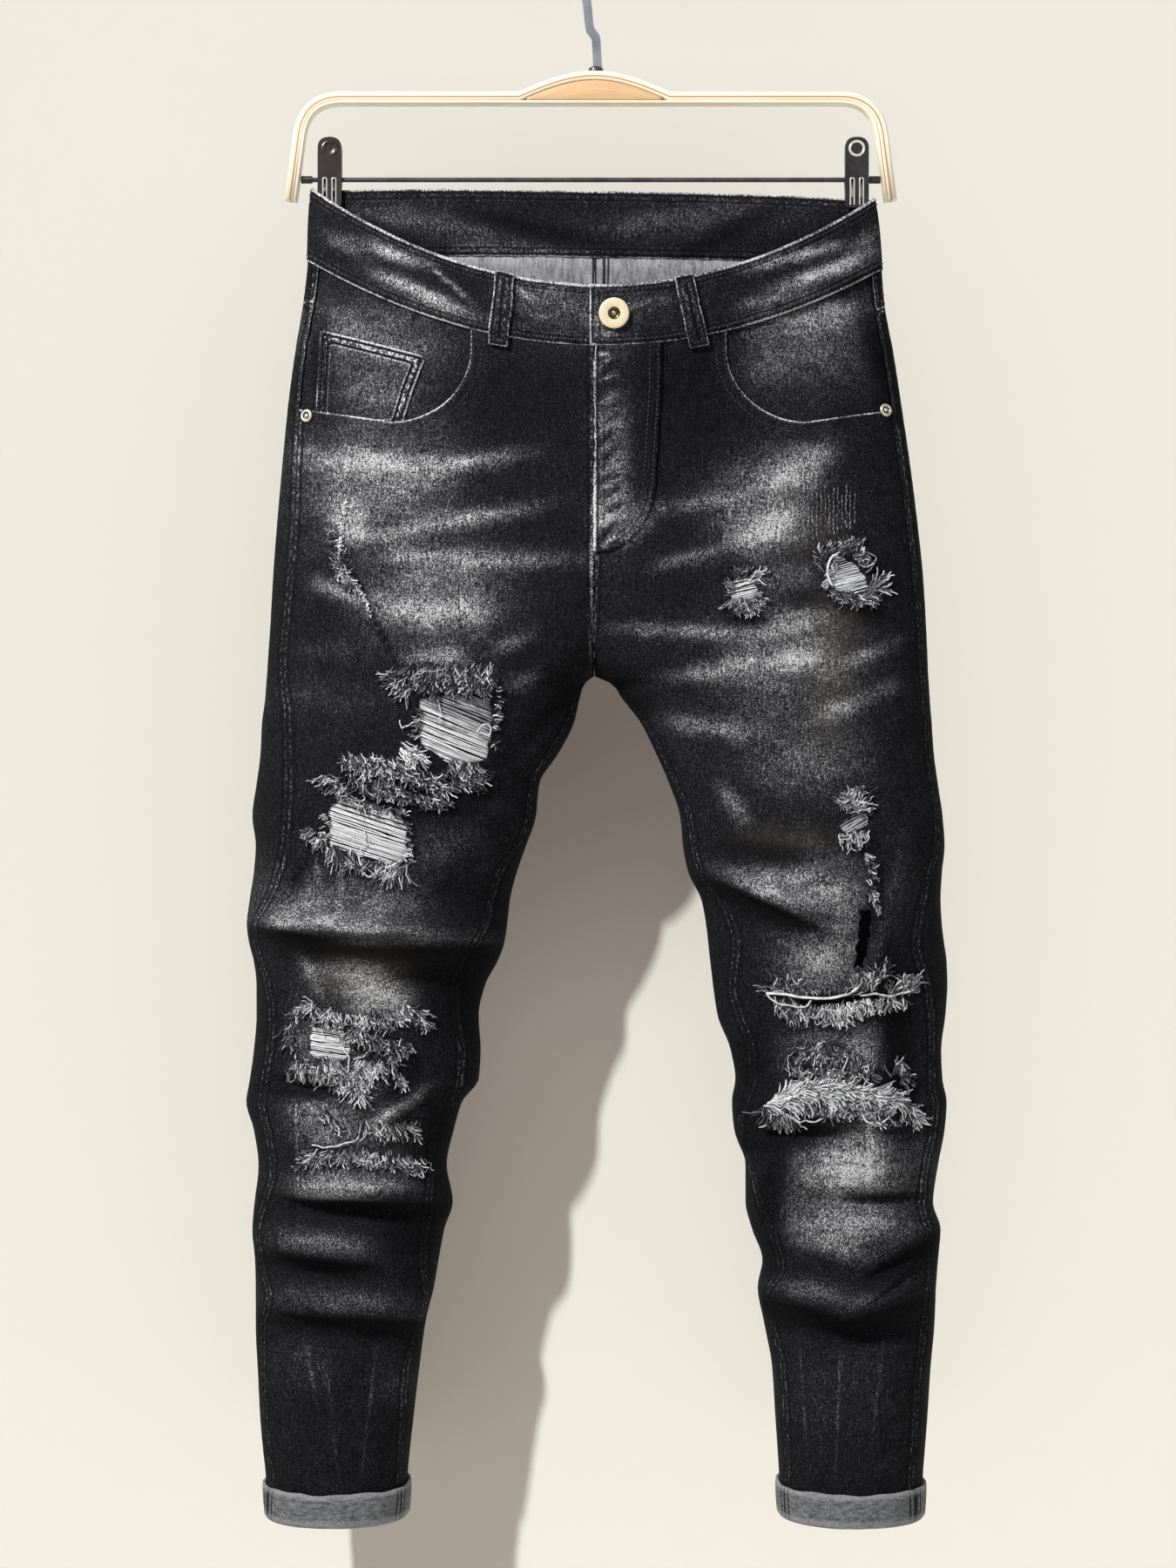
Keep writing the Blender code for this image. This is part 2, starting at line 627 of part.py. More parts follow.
def waistband(group):
    """One folded band: it starts under the lap, goes round by the left and the back, and ends
    on top at the button."""
    downs = np.array([0.0, BAND / 2, BAND])
    front = {leg: front_angles(leg, downs) for leg in LEGS}
    back = {leg: back_angles(leg, downs) for leg in LEGS}
    front_x = surface("left", front["left"][0], downs[0] * np.ones(FRONT_CELLS + 1))[:, 0]
    keep = np.flatnonzero(front_x < LAP_COLUMNS[1] - BAND / 8)
    beside_lap, clear_of_lap = LAP_COLUMNS
    pieces = [  # leg, angles, whether it lies under the lap
        ("right", at_x("right", LAP_UNDER, downs), True),
        ("right", at_x("right", LAP_UNDER / 2, downs), True),
        ("left", at_x("left", CENTRE, downs), True),
        ("left", at_x("left", beside_lap, downs), True),
        ("left", at_x("left", clear_of_lap, downs), False),
        ("left", front["left"][:, keep[::-1]], False),
        ("left", back["left"][:, 1:], False),
        ("right", back["right"][:, -2::-1], False),
        ("right", front["right"][:, 1:], False),
        ("left", at_x("left", LAP_END, downs), False),
    ]
    grids = [on_surface(leg, angles, downs) for leg, angles, _ in pieces]
    points = np.concatenate([grid[0] for grid in grids], axis=1)
    normals = np.concatenate([grid[1] for grid in grids], axis=1)
    lowered = np.concatenate([[under] * angles.shape[1] for _, angles, under in pieces])
    out = BAND_OUT - np.where(lowered, BAND_WALL + 2 * GAP, 0.0)
    wall("waistband", points, normals, out, BAND_WALL, "denim", group, sides=("bottom",))


def belt_loop(name, leg, face, x_top, x_foot, group, cutters):
    downs = np.array([0.0, BAND / 2, *rows_from(BAND, LOOP["wall_foot"])])
    in_front = face == "front"
    angles = front_angles(leg, downs) if in_front else back_angles(leg, downs)
    points, normals = on_surface(leg, angles, downs)
    thick, half = LOOP["thick"], LOOP["width"] / 2
    out = BAND_OUT + GAP + thick
    loop = wall(f"belt_loop_{name}", points, normals, out, thick, "denim", group)
    low = fallen(x_foot, LOOP["foot"]) if in_front else level(LOOP["foot"])
    high = fallen(x_top, 0) + BAND / 8 if in_front else level(-BAND / 8)
    outline = [(x_top - half, high), (x_top + half, high), (x_foot + half, low), (x_foot - half, low)]
    near, far = (-FAR, MIDDLE - CLOTH) if in_front else (MIDDLE, FAR)
    cut(loop, prism(f"loop_outline_{name}", outline, near, far, cutters), "INTERSECT")


def turned(name, profile, finish, group, steps=24):
    """A profile of (radius, height) in mm, from its top down its outside, turned about Z."""
    mesh = bpy.data.meshes.new(name)
    edges = [(i, i + 1) for i in range(len(profile) - 1)]
    mesh.from_pydata([(radius * MM, 0, height * MM) for radius, height in profile], edges, [])
    obj = add_object(name, mesh, finish, group)
    turn = obj.modifiers.new("turn", "SCREW")
    turn.steps = turn.render_steps = steps
    turn.use_merge_vertices = True
    turn.merge_threshold = 0.00001
    return obj


def seat(obj, leg, x, down, out):
    """Stands a turned piece on the front, out mm clear of the smooth surface."""
    down = np.array([float(down)])
    angle = at_x(leg, x, down)[0]
    point, normal = surface(leg, angle, down)[0], outward(leg, angle, down)[0]
    obj.location = Vector(point + normal * out) * MM
    obj.rotation_mode = "QUATERNION"
    obj.rotation_quaternion = Vector(normal).to_track_quat("Z", "Y")


def fasteners(group):
    r, h = BUTTON["radius"], BUTTON["height"]
    profile = [(0, 0.45 * h), (0.30 * r, 0.45 * h), (0.42 * r, 0.80 * h), (0.66 * r, h)]
    profile += [(0.86 * r, 0.88 * h), (r, 0.5 * h), (0.93 * r, 0.15 * h), (0.6 * r, 0), (0, 0)]
    button = turned("button", profile, "brass", group)
    seat(button, "right", BUTTON["x"], BUTTON["down"], BAND_OUT + GAP)
    r, h = RIVET["radius"], RIVET["height"]
    profile = [(0, h), (0.45 * r, 0.95 * h), (0.85 * r, 0.6 * h)]
    profile += [(r, 0.2 * h), (0.9 * r, 0), (0, 0)]
    for leg in LEGS:
        side = -1 if leg == "left" else 1
        edge = float(leg_value(leg, "side_seam", RIVET[leg]))
        rivet = turned(f"rivet_{leg}", profile, "brass", group, steps=16)
        seat(rivet, leg, edge - side * RIVET["in"], RIVET[leg], GAP)


# ---- The hanger ----


def rounded(corners, radius, steps=5):
    """The polyline with each inner corner made round."""
    path = [Vector(corners[0])]
    for before, here, after in zip(corners, corners[1:], corners[2:]):
        here = Vector(here)
        back, on = (Vector(before) - here), (Vector(after) - here)
        reach = min(radius, back.length * 0.48, on.length * 0.48)
        start, end = here + back.normalized() * reach, here + on.normalized() * reach
        for i in range(steps + 1):
            t = i / steps
            path.append(start * (1 - t) ** 2 + here * 2 * t * (1 - t) + end * t**2)
    return path + [Vector(corners[-1])]


def beside(path, distance):
    """The path moved to its left by this distance."""
    moved = []
    for i, point in enumerate(path):
        way = (path[min(i + 1, len(path) - 1)] - path[max(i - 1, 0)]).normalized()
        moved.append(point + Vector((-way.y, way.x)) * distance)
    return moved


def flat_plate(name, outlines, thick, y, finish, group):
    """A flat outline in x and z, with any holes, drawn out to a plate about this y."""
    curve = bpy.data.curves.new(name, "CURVE")
    curve.dimensions = "2D"
    curve.fill_mode = "BOTH"
    curve.extrude = thick / 2 * MM
    for outline in outlines:
        spline = curve.splines.new("POLY")
        spline.points.add(len(outline) - 1)
        for point, (x, z) in zip(spline.points, outline):
            point.co = (x * MM, z * MM, 0, 1)
        spline.use_cyclic_u = True
    obj = add_object(name, curve, finish, group)
    obj.rotation_euler = (math.pi / 2, 0, 0)
    obj.location.y = y * MM
    return obj


def arch_rise(x, rise):
    share = (x - ARCH["middle"]) / ARCH["half"]
    return rise * math.cos(math.pi / 2 * share) if abs(share) < 1 else 0.0


def hanger_frame(group):
    thick = FRAME["thick"]
    mid = FRAME["top"] - thick / 2
    left, right, foot, lean = (FRAME[key] for key in ("left", "right", "foot", "lean"))
    corners = [(left, foot), (left + lean, mid), (right - lean, mid), (right, foot)]
    path = rounded(corners, FRAME["corner"])
    upper, lower = beside(path, thick / 2), beside(path, -thick / 2)
    half = len(upper) // 2
    steps = np.linspace(-1, 1, 15) * ARCH["half"] + ARCH["middle"]
    crown = [Vector((x, FRAME["top"] + arch_rise(x, ARCH["rise"]))) for x in steps]
    outline = upper[:half] + crown + upper[half:] + lower[::-1]
    base = ARCH["base"]
    rise = ARCH["rise"] + FRAME["top"] - ARCH["layer"] - base
    hole = [Vector((x, base + arch_rise(x, rise))) for x in steps]
    flat_plate("hanger_frame", [outline, hole[::-1]], FRAME["depth"], 0, "wood", group)
    crest = [Vector((x, base - GAP + arch_rise(x, rise))) for x in steps[2:-2]]
    foot = [Vector((crest[-1].x, base + GAP)), Vector((crest[0].x, base + GAP))]
    flat_plate("hanger_insert", [crest + foot], FRAME["depth"], 0, "wood_core", group)


def cylinder(name, radius, length, middle, finish, group, around=24):
    """A cylinder lying along X."""
    mesh = bmesh.new()
    bmesh.ops.create_cone(
        mesh,
        cap_ends=True,
        segments=around,
        radius1=radius * MM,
        radius2=radius * MM,
        depth=length * MM,
    )
    mesh.transform(Matrix.Rotation(math.pi / 2, 4, "Y"))
    made = bpy.data.meshes.new(name)
    mesh.to_mesh(made)
    mesh.free()
    obj = add_object(name, made, finish, group)
    obj.location = Vector(middle) * MM
    return obj


def rod(group):
    """The rail between the frame's ends, with a sleeve at either end."""
    share = (ROD["z"] - FRAME["foot"]) / (FRAME["top"] - FRAME["thick"] / 2 - FRAME["foot"])
    inset = FRAME["lean"] * share + FRAME["thick"] / 2 + 3 * GAP
    start, end = FRAME["left"] + inset, FRAME["right"] - inset
    sleeve, radius = ROD["sleeve"], ROD["sleeve_radius"]
    for side, middle in (("left", start + sleeve / 2), ("right", end - sleeve / 2)):
        place = (middle, 0, ROD["z"])
        cylinder(f"rod_sleeve_{side}", radius, sleeve, place, "black_rubber", group, 16)
    length, place = end - start - 2 * (sleeve + GAP), ((start + end) / 2, 0, ROD["z"])
    cylinder("hanger_rod", ROD["radius"], length, place, "black_steel", group, 12)


def clip(side, group):
    """Two plates pinched on the band by a roll spring above the rod."""
    middle, half = CLIP[side], CLIP["width"] / 2
    top, bottom, plate = CLIP["top"], CLIP["bottom"], CLIP["plate"]
    corners = [(middle, bottom), (middle - half, bottom), (middle - half, top)]
    corners += [(middle + half, top), (middle + half, bottom), (middle, bottom)]
    outline = rounded(corners, CLIP["width"] * 0.48, 6)[:-1]
    slots = []
    high, low = CLIP["slot_top"], CLIP["slot_foot"]
    inner, outer = CLIP["slots"]
    for near, far in ((-outer, -inner), (inner, outer)):
        near, far = middle + near, middle + far
        slots.append([(near, low), (far, low), (far, high), (near, high)])
    y = CLIP["grip"] + plate / 2
    flat_plate(f"clip_{side}_front", [outline, *slots], plate, -y, "black_steel", group)
    flat_plate(f"clip_{side}_back", [outline], plate, y, "black_steel", group)
    place = (middle, 0, CLIP["spring_z"])
    radius = CLIP["grip"] - GAP
    cylinder(f"clip_{side}_spring", radius, CLIP["spring_length"], place, "steel", group, 16)


def hook(group):
    """A flat steel hook with a small jog in its stem, on a ferrule."""
    radius = HOOK["radius"] + HOOK["width"] / 2
    stem = rounded(HOOK_STEM, HOOK["width"] * 0.6, 4)
    sweep = [Vector(point) for point in HOOK_SWEEP]
    bend = []
    for i in range(1, 9):
        t = i / 9
        shares = ((1 - t) ** 3, 3 * t * (1 - t) ** 2, 3 * t**2 * (1 - t), t**3)
        bend.append(sum((point * share for point, share in zip(sweep, shares)), Vector((0, 0))))
    middle = (0, -HOOK["radius"])
    crown = [Vector(p) for p in arc(middle, (radius, radius), 180, HOOK["tip"], HOOK["steps"])]
    path = stem + bend + crown
    half = HOOK["width"] / 2
    tip = path[-1]
    way = (path[-1] - path[-2]).normalized()
    side = Vector((-way.y, way.x))
    turns = np.radians(np.linspace(80, -80, 7))
    end = [tip + side * half * math.sin(t) + way * half * math.cos(t) for t in turns]
    outline = beside(path, half) + end + beside(path, -half)[::-1]
    flat_plate("hook", [outline], HOOK["thick"], 0, "steel", group)
    height = FERRULE["top"] - (FRAME["top"] + ARCH["rise"]) - GAP
    r = FERRULE["radius"]
    profile = [(0, height), (0.8 * r, height), (r, 0.6 * height), (r, 0), (0, 0)]
    ferrule = turned("ferrule", profile, "steel", group)
    ferrule.location = Vector((HOOK_STEM[0][0] - 1.2, 0, FERRULE["top"] - height)) * MM


def build():
    clear_scene()
    parts, cutters = collection("Ripped jeans on clip hanger"), collection("Cutters")
    for leg in LEGS:
        front_panel(leg, parts, cutters)
        pocket_facing(leg, parts, cutters)
        back_panels(leg, parts)
        back_pocket(leg, parts, cutters)
        cuff(leg, parts)
    coin_pocket(parts, cutters)
    fly(parts, cutters)
    waistband(parts)
    for loop in LOOPS:
        belt_loop(*loop, parts, cutters)
    fasteners(parts)
    hanger_frame(parts)
    rod(parts)
    for side in ("left", "right"):
        clip(side, parts)
    hook(parts)


build()
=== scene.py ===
# Ripped slim jeans hanging from a bentwood clip hanger: the finish of every piece, set round the
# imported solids.
import contextlib
import json
import math

import bmesh
import bpy
import numpy as np
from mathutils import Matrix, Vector
from mathutils.bvhtree import BVHTree

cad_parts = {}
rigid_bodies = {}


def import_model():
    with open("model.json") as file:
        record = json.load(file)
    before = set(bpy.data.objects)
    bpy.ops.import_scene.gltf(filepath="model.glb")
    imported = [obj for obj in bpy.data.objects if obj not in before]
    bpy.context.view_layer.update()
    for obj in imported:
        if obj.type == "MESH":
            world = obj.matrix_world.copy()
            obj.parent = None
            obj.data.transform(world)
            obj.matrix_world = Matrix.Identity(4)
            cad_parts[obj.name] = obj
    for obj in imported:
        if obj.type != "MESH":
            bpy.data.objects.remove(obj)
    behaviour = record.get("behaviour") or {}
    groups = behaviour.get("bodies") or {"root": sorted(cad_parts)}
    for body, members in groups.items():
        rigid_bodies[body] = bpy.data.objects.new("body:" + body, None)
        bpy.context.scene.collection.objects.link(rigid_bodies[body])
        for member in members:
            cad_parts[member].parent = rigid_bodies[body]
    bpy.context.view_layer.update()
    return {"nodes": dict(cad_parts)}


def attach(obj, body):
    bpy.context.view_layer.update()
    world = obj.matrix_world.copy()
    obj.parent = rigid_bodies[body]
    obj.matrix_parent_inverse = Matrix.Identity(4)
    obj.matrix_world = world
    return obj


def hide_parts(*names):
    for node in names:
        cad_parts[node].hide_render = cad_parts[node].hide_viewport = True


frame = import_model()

MM = 0.001

# ---- Camera, light and backdrop ----
# The jeans hang in front of a cream wall, lit by a soft lamp high on the left, with a weak one on
# the right, one behind and an even sky. The wall has a sun and two weak lamps of its own, and shows
# from its front only, so that the back can be viewed.

EYE = np.array((-7.7, -2012.0, -641.0))  # the camera, in mm
SIGHT_PLANE = -12.0  # y of the plane that the sighted places below are measured in, in mm
WALL_BEHIND = 0.10
CROTCH_SHADE = (-0.03, WALL_BEHIND, -0.62)  # where a shadow is painted on the wall, behind the meeting of the legs
SHADE_REACH = 0.24
TO_WALL = Vector((0.32, 0.577, -0.753))  # the way the sun shines on the wall


def operator(operation, swapped=False):
    """A method that adds a Math node for an arithmetic sign."""

    def applied(self, other):
        return self.math(operation, *((other, self) if swapped else (self, other)))

    return applied


class Wire:
    """One socket of a node tree. Its operators add Math nodes, and node() adds any other."""

    __add__, __radd__ = operator("ADD"), operator("ADD", True)
    __sub__, __rsub__ = operator("SUBTRACT"), operator("SUBTRACT", True)
    __mul__, __rmul__ = operator("MULTIPLY"), operator("MULTIPLY", True)
    __truediv__ = operator("DIVIDE")

    def __init__(self, tree, socket=None):
        self.tree = tree
        self.socket = socket

    def node(self, kind, settings=None, inputs=None, out=0):
        made = self.tree.nodes.new(kind)
        for name, value in (settings or {}).items():
            if name == "stops":
                ramp = made.color_ramp
                for stop, (place, colour) in zip((*ramp.elements, *(None,) * 8), value):
                    stop = stop or ramp.elements.new(place)
                    stop.position, stop.color = place, colour
            else:
                setattr(made, name, value)
        for name, value in (inputs or {}).items():
            if isinstance(value, Wire):
                self.tree.links.new(value.socket, made.inputs[name])
            else:
                made.inputs[name].default_value = value
        return Wire(self.tree, made.outputs[out])

    def math(self, operation, *values):
        return self.node("ShaderNodeMath", {"operation": operation}, dict(enumerate(values)))

    def place(self, space="Object"):
        return self.node("ShaderNodeTexCoord", out=space)

    def layer(self, name):
        """A float layer stored on the mesh."""
        return self.node("ShaderNodeAttribute", {"attribute_name": name}, out="Fac")

    def stretched(self, scale, turn=(0, 0, 0)):
        return self.node("ShaderNodeMapping", None, {"Vector": self, "Rotation": turn, "Scale": scale})

    def noise(self, scale, detail, rough=0.5):
        inputs = {"Vector": self, "Scale": scale, "Detail": detail, "Roughness": rough}
        return self.node("ShaderNodeTexNoise", None, inputs)

    def between(self, low, high):
        """0 at low and 1 at high, with soft ends."""
        settings = {"interpolation_type": "SMOOTHSTEP"}
        return self.node("ShaderNodeMapRange", settings, {0: self, 1: low, 2: high})

    def within(self, low, high, back, gone):
        """1 from high to back, and 0 below low and above gone."""
        return self.between(low, high) * (1 - self.between(back, gone))

    def blend(self, under, over):
        """The two colours mixed by this value."""
        inputs = {0: self, 6: under, 7: over}
        return self.node("ShaderNodeMix", {"data_type": "RGBA"}, inputs, out=2)

    def feed(self, shader, name):
        self.tree.links.new(self.socket, shader.inputs[name])

    def emboss(self, shader, strength, distance):
        """Feeds this height to the shader as bump."""
        inputs = {"Height": self, "Strength": strength, "Distance": distance}
        self.node("ShaderNodeBump", None, inputs).feed(shader, "Normal")


def new_material(name, **constants):
    """A Principled material with these constants, a wire to build its maths with, and its shader."""
    made = bpy.data.materials.new(name)
    made.use_nodes = True
    shader = made.node_tree.nodes["Principled BSDF"]
    for socket, value in constants.items():
        shader.inputs[socket.replace("_", " ")].default_value = value
    return made, Wire(made.node_tree), shader


def new_object(name, data):
    obj = bpy.data.objects.new(name, data)
    bpy.context.scene.collection.objects.link(obj)
    return obj


def wall_material():
    made, wire, shader = new_material("cream_wall", Roughness=0.9)
    out = made.node_tree.nodes["Material Output"]
    # A shadow is painted into the wall's colour: the cream darkens to brown near where the legs meet.
    ends = {0: wire.place(), 1: CROTCH_SHADE}
    from_crotch = wire.node("ShaderNodeVectorMath", {"operation": "DISTANCE"}, ends, out=1)
    shade = (1 - from_crotch.between(0.0, SHADE_REACH)) * 0.5
    shade.blend((0.8, 0.77, 0.69, 1), (0.3, 0.27, 0.24, 1)).feed(shader, "Base Color")
    behind = wire.node("ShaderNodeNewGeometry", out="Backfacing")
    clear = wire.node("ShaderNodeBsdfTransparent")
    lit = Wire(made.node_tree, shader.outputs[0])
    seen = wire.node("ShaderNodeMixShader", None, {0: behind, 1: lit, 2: clear})
    seen.feed(out, "Surface")
    return made


def backdrop():
    """A wall that turns into a floor in front of it, in one sweep."""
    half, top, floor, near, cove = 2.8, 2.2, -2.4, -3.2, 0.12
    turns = np.linspace(0, math.pi / 2, 9)
    side = [(WALL_BEHIND, top)]
    side += [(WALL_BEHIND - cove * (1 - math.cos(t)), floor + cove * (1 - math.sin(t))) for t in turns]
    side.append((near, floor))
    points = [(x, y, z) for y, z in side for x in (-half, half)]
    faces = [(2 * i, 2 * i + 2, 2 * i + 3, 2 * i + 1) for i in range(len(side) - 1)]
    mesh = bpy.data.meshes.new("backdrop")
    mesh.from_pydata(points, [], faces)
    mesh.shade_smooth()
    obj = new_object("backdrop", mesh)
    mesh.materials.append(wall_material())
    return obj


def group(name, objects, state="INCLUDE"):
    """A collection that a lamp can be linked to, which takes in these objects or leaves them out."""
    made = bpy.data.collections.new(name)
    for obj in objects:
        made.objects.link(obj)
    for link in made.collection_objects:
        link.light_linking.link_state = state
    return made


def lamp(name, place, way, size, power, colour, lights, shaded_by=None):
    """A disk lamp at a place, or with no place a sun, shining one way on a group of objects. A lamp
    for the wall casts no shadow, unless it is shaded by a group."""
    light = bpy.data.lights.new(name, "AREA" if place else "SUN")
    light.energy = power
    light.color = colour
    if place:
        light.shape = "DISK"
        light.size = size
    else:
        light.angle = size
    light.use_shadow = shaded_by is not None or lights is not WALL_ONLY
    obj = new_object(name, light)
    obj.location = place or (0, -1, 0)
    obj.rotation_euler = Vector(way).to_track_quat("-Z", "Y").to_euler()
    obj.light_linking.receiver_collection = lights
    if shaded_by:
        obj.light_linking.blocker_collection = shaded_by


def camera():
    lens = bpy.data.cameras.new("camera")
    lens.sensor_width = 36
    lens.lens = 62.5
    obj = new_object("camera", lens)
    obj.location = Vector(EYE) * MM
    obj.rotation_euler = (math.pi / 2, 0, 0)
    bpy.context.scene.camera = obj


def sky():
    world = bpy.data.worlds.new("sky")
    bpy.context.scene.world = world
    world.use_nodes = True
    shade = world.node_tree.nodes["Background"]
    shade.inputs["Color"].default_value = (0.95, 0.97, 1.0, 1)
    shade.inputs["Strength"].default_value = 0.20


camera()
WALL = backdrop()
sky()
ALL_BUT_WALL = group("all_but_wall", [WALL], "EXCLUDE")
WALL_ONLY = group("wall_only", [WALL])
lamp("key", (-1.35, -1.5, 1.05), (1.35, 1.5, -1.65), 0.5, 92, (1.0, 0.985, 0.96), ALL_BUT_WALL)
lamp("fill", (1.5, -2.0, -0.3), (-1.5, 2.0, -0.3), 1.0, 9, (0.95, 0.97, 1.0), ALL_BUT_WALL)
lamp("behind", (0.6, 2.4, 0.5), (-0.6, -2.4, -1.1), 1.2, 120, (1.0, 0.99, 0.97), ALL_BUT_WALL)
lamp("wall_middle", (-0.02, -0.95, 0.03), (0, 1, 0), 0.4, 1.1, (0.97, 1.0, 1.0), WALL_ONLY)
lamp("wall_glow", None, (0, 1, 0), 0.1, 0.25, (1.0, 0.55, 0.58), WALL_ONLY)
bpy.context.scene.view_settings.view_transform = "Standard"

# ---- The fronts ----
# Two panels of slim black stretch denim, stone-washed grey where the thighs and knees rub, cut
# away at the pocket mouths, torn and slashed by hand, and stacked in folds from the knee down.

HOOK_TO_RIM = 207.0
MIDDLE, CENTRE = -12.0, -3.0
BAND, CUFF_TOP, HEM = 53.0, 945.0, 966.0  # levels, in mm below the back of the rim
CLOTH = 1.4
GAP = 0.3
ROUNDNESS = 2.25  # the power of the legs' superellipse
TILT = 0.017  # how far the waist hangs down on the right, for each mm of x
WHISKER_RISE = 1.6
SIGHT_FROM_FRONT = 1.022  # how much larger the front looks than the plane of the side creases
EYE_DOWN = 434.0  # how far below the back rim the camera stands
FRONT_CELL, BACK_CELL = 2.5, 4.5  # height of the cells of a panel's grid
FRONT_CELLS, BACK_CELLS, POCKET_CELLS = 88, 52, 76  # cells across it
SIDE_OF_LEG = {"left": -1, "right": 1}

LEG_COLUMNS = ("down", "outer", "side_seam", "inseam", "inner")
LEG_ROWS = {
    "left": (
        *((*row, CENTRE, CENTRE) for row in (
            (0, -211, -204), (53, -213.5, -205), (81, -216.5, -208), (114, -222, -214), (154, -227.5, -218),
            (199, -232, -220), (244, -236, -221), (284, -239, -224), (319, -241, -227), (341, -242.5, -229),
            (355, -243.5, -229),
        )),
        (361, -244, -228, -13, -11), (370, -244.5, -227, -15.5, -13.5), (389, -247, -225, -22, -18),
        (411, -248, -224.5, -35, -29), (434, -251, -224, -48.5, -43.5), (458, -254, -225, -51, -46),
        (479, -251.5, -227, -59, -53), (499, -253, -232, -72, -60), (519, -256, -240, -78, -65),
        (537, -258, -250, -82, -67), (550, -256.5, -249, -89, -69), (564, -253, -246, -97, -74),
        (581, -251, -240, -104, -83), (604, -251, -237, -103, -88), (629, -253, -239, -99, -86.5),
        (651, -256, -243, -101, -88), (667, -258.5, -244.5, -107, -100), (687, -253, -240, -119, -106),
        (714, -249.5, -236, -121, -111.5), (741, -252.5, -244, -123, -107), (760, -254, -248, -126, -113),
        (784, -252, -245, -127, -117.5), (804, -251.5, -239, -125.5, -121), (829, -251.5, -244, -131, -127),
        (862, -250, -243.5, -140, -131.5), (900, -248, -241.5, -142.5, -136),
        (945, -243.5, -236.5, -145.5, -140.5), (966, -242, -237, -147, -141.5),
    ),
    "right": (
        *((*row, CENTRE, CENTRE) for row in (
            (0, 203, 196), (53, 208, 200), (81, 210.5, 203), (114, 216.5, 209), (154, 222.5, 215),
            (199, 229, 222), (244, 234.5, 227), (284, 238.5, 231), (319, 240.5, 234), (341, 241.5, 235),
            (355, 242, 236),
        )),
        (361, 242.5, 236.5, 13, 11), (370, 243, 237, 18.5, 16.5), (389, 244.5, 238.5, 34, 31),
        (411, 246, 240, 46, 42), (434, 249, 243, 56.5, 52), (458, 252.5, 246, 66, 60),
        (479, 254, 246, 69, 62), (499, 252, 240, 74, 66), (519, 251, 234.5, 89, 75.5),
        (537, 252, 231, 97, 79), (550, 253.5, 229, 99.5, 80.5), (564, 255.5, 233, 98.5, 82),
        (581, 256, 238.5, 97, 84), (604, 254.5, 241.5, 103, 87.5), (629, 251.5, 242.5, 111, 97),
        (651, 252.5, 242.5, 111.5, 100.5), (667, 255.5, 245, 106, 98), (687, 254, 243, 103, 99.5),
        (714, 249, 237, 111, 108), (741, 245.5, 235, 118, 108), (760, 251, 240, 126, 112.5),
        (784, 249, 241, 132, 120.5), (804, 247.5, 239, 122, 117), (829, 246.5, 236, 127, 121.5),
        (862, 243.5, 231.5, 134, 127.5), (900, 241, 229, 136, 130), (945, 237.5, 226, 137.5, 133),
        (966, 236.5, 226, 138.5, 134),
    ),
}

BODY_COLUMNS = ("down", "front", "back", "droop", "waist", "front_mid", "back_mid")
BODY_ROWS = (
    (0, 54, 14, 77, 1.0, 1.0, 1.0), (53, 52, 17, 67, 0.85, 1.0, 1.0), (114, 50, 27, 52, 0.6, 1.0, 0.95),
    (179, 48, 34, 36, 0.35, 0.98, 0.9), (259, 47, 40, 16, 0.12, 0.9, 0.8), (309, 47, 42, 5, 0.0, 0.75, 0.62),
    (334, 47, 43, 1, 0.0, 0.55, 0.44), (349, 47, 43, 0, 0.0, 0.27, 0.22), (355, 47, 43, 0, 0.0, 0.0, 0.0),
    (449, 48, 43, 0, 0.0, 0.0, 0.0), (549, 45, 40, 0, 0.0, 0.0, 0.0), (629, 41, 38, 0, 0.0, 0.0, 0.0),
    (729, 41, 38, 0, 0.0, 0.0, 0.0), (829, 43, 40, 0, 0.0, 0.0, 0.0), (966, 46, 44, 0, 0.0, 0.0, 0.0),
)

# How far the centre of the back rides up: the level, and the rise there.
BACK_RISE = ((0, 53, 154), (4.0, 9.0, 0.0))

# The solids' own folds. Fall is down for each mm of x.
FOLD_COLUMNS = ("x", "down", "reach", "fall", "width", "out")
FOLDS = {
    "left": {
        "front": (
            (-170, 541, 88, 0.07, 15, 12), (-165, 566, 85, 0.1, 11, -8), (-212, 650, 36, 0.1, 10, -6),
            (-150, 668, 34, 0.3, 13, 7), (-180, 722, 60, 0.05, 13, 5), (-178, 741, 60, 0.08, 10, -8),
            (-212, 785, 40, 0.15, 10, -6), (-188, 829, 58, 0.1, 11, -6),
        ),
        "back": (
            (-160, 540, 80, -0.1, 14, 9), (-165, 566, 80, 0.05, 12, -7), (-180, 655, 60, 0.15, 14, 6),
            (-180, 740, 60, -0.1, 12, -7), (-190, 820, 50, 0.12, 12, -5),
        ),
    },
    "right": {
        "front": (
            (112, 512, 46, 0.38, 15, 8), (222, 620, 75, 8.0, 13, -7), (150, 690, 45, 0.05, 12, -5),
            (196, 738, 45, -0.05, 10, -7), (218, 782, 36, -0.55, 11, -7), (180, 806, 55, 0.05, 12, 6),
            (180, 830, 55, 0.02, 11, -8),
        ),
        "back": (
            (160, 528, 80, 0.1, 14, 9), (170, 555, 75, -0.05, 12, -7), (175, 660, 60, -0.15, 14, 6),
            (180, 745, 60, 0.1, 12, -7), (185, 815, 50, -0.1, 12, -5),
        ),
    },
}

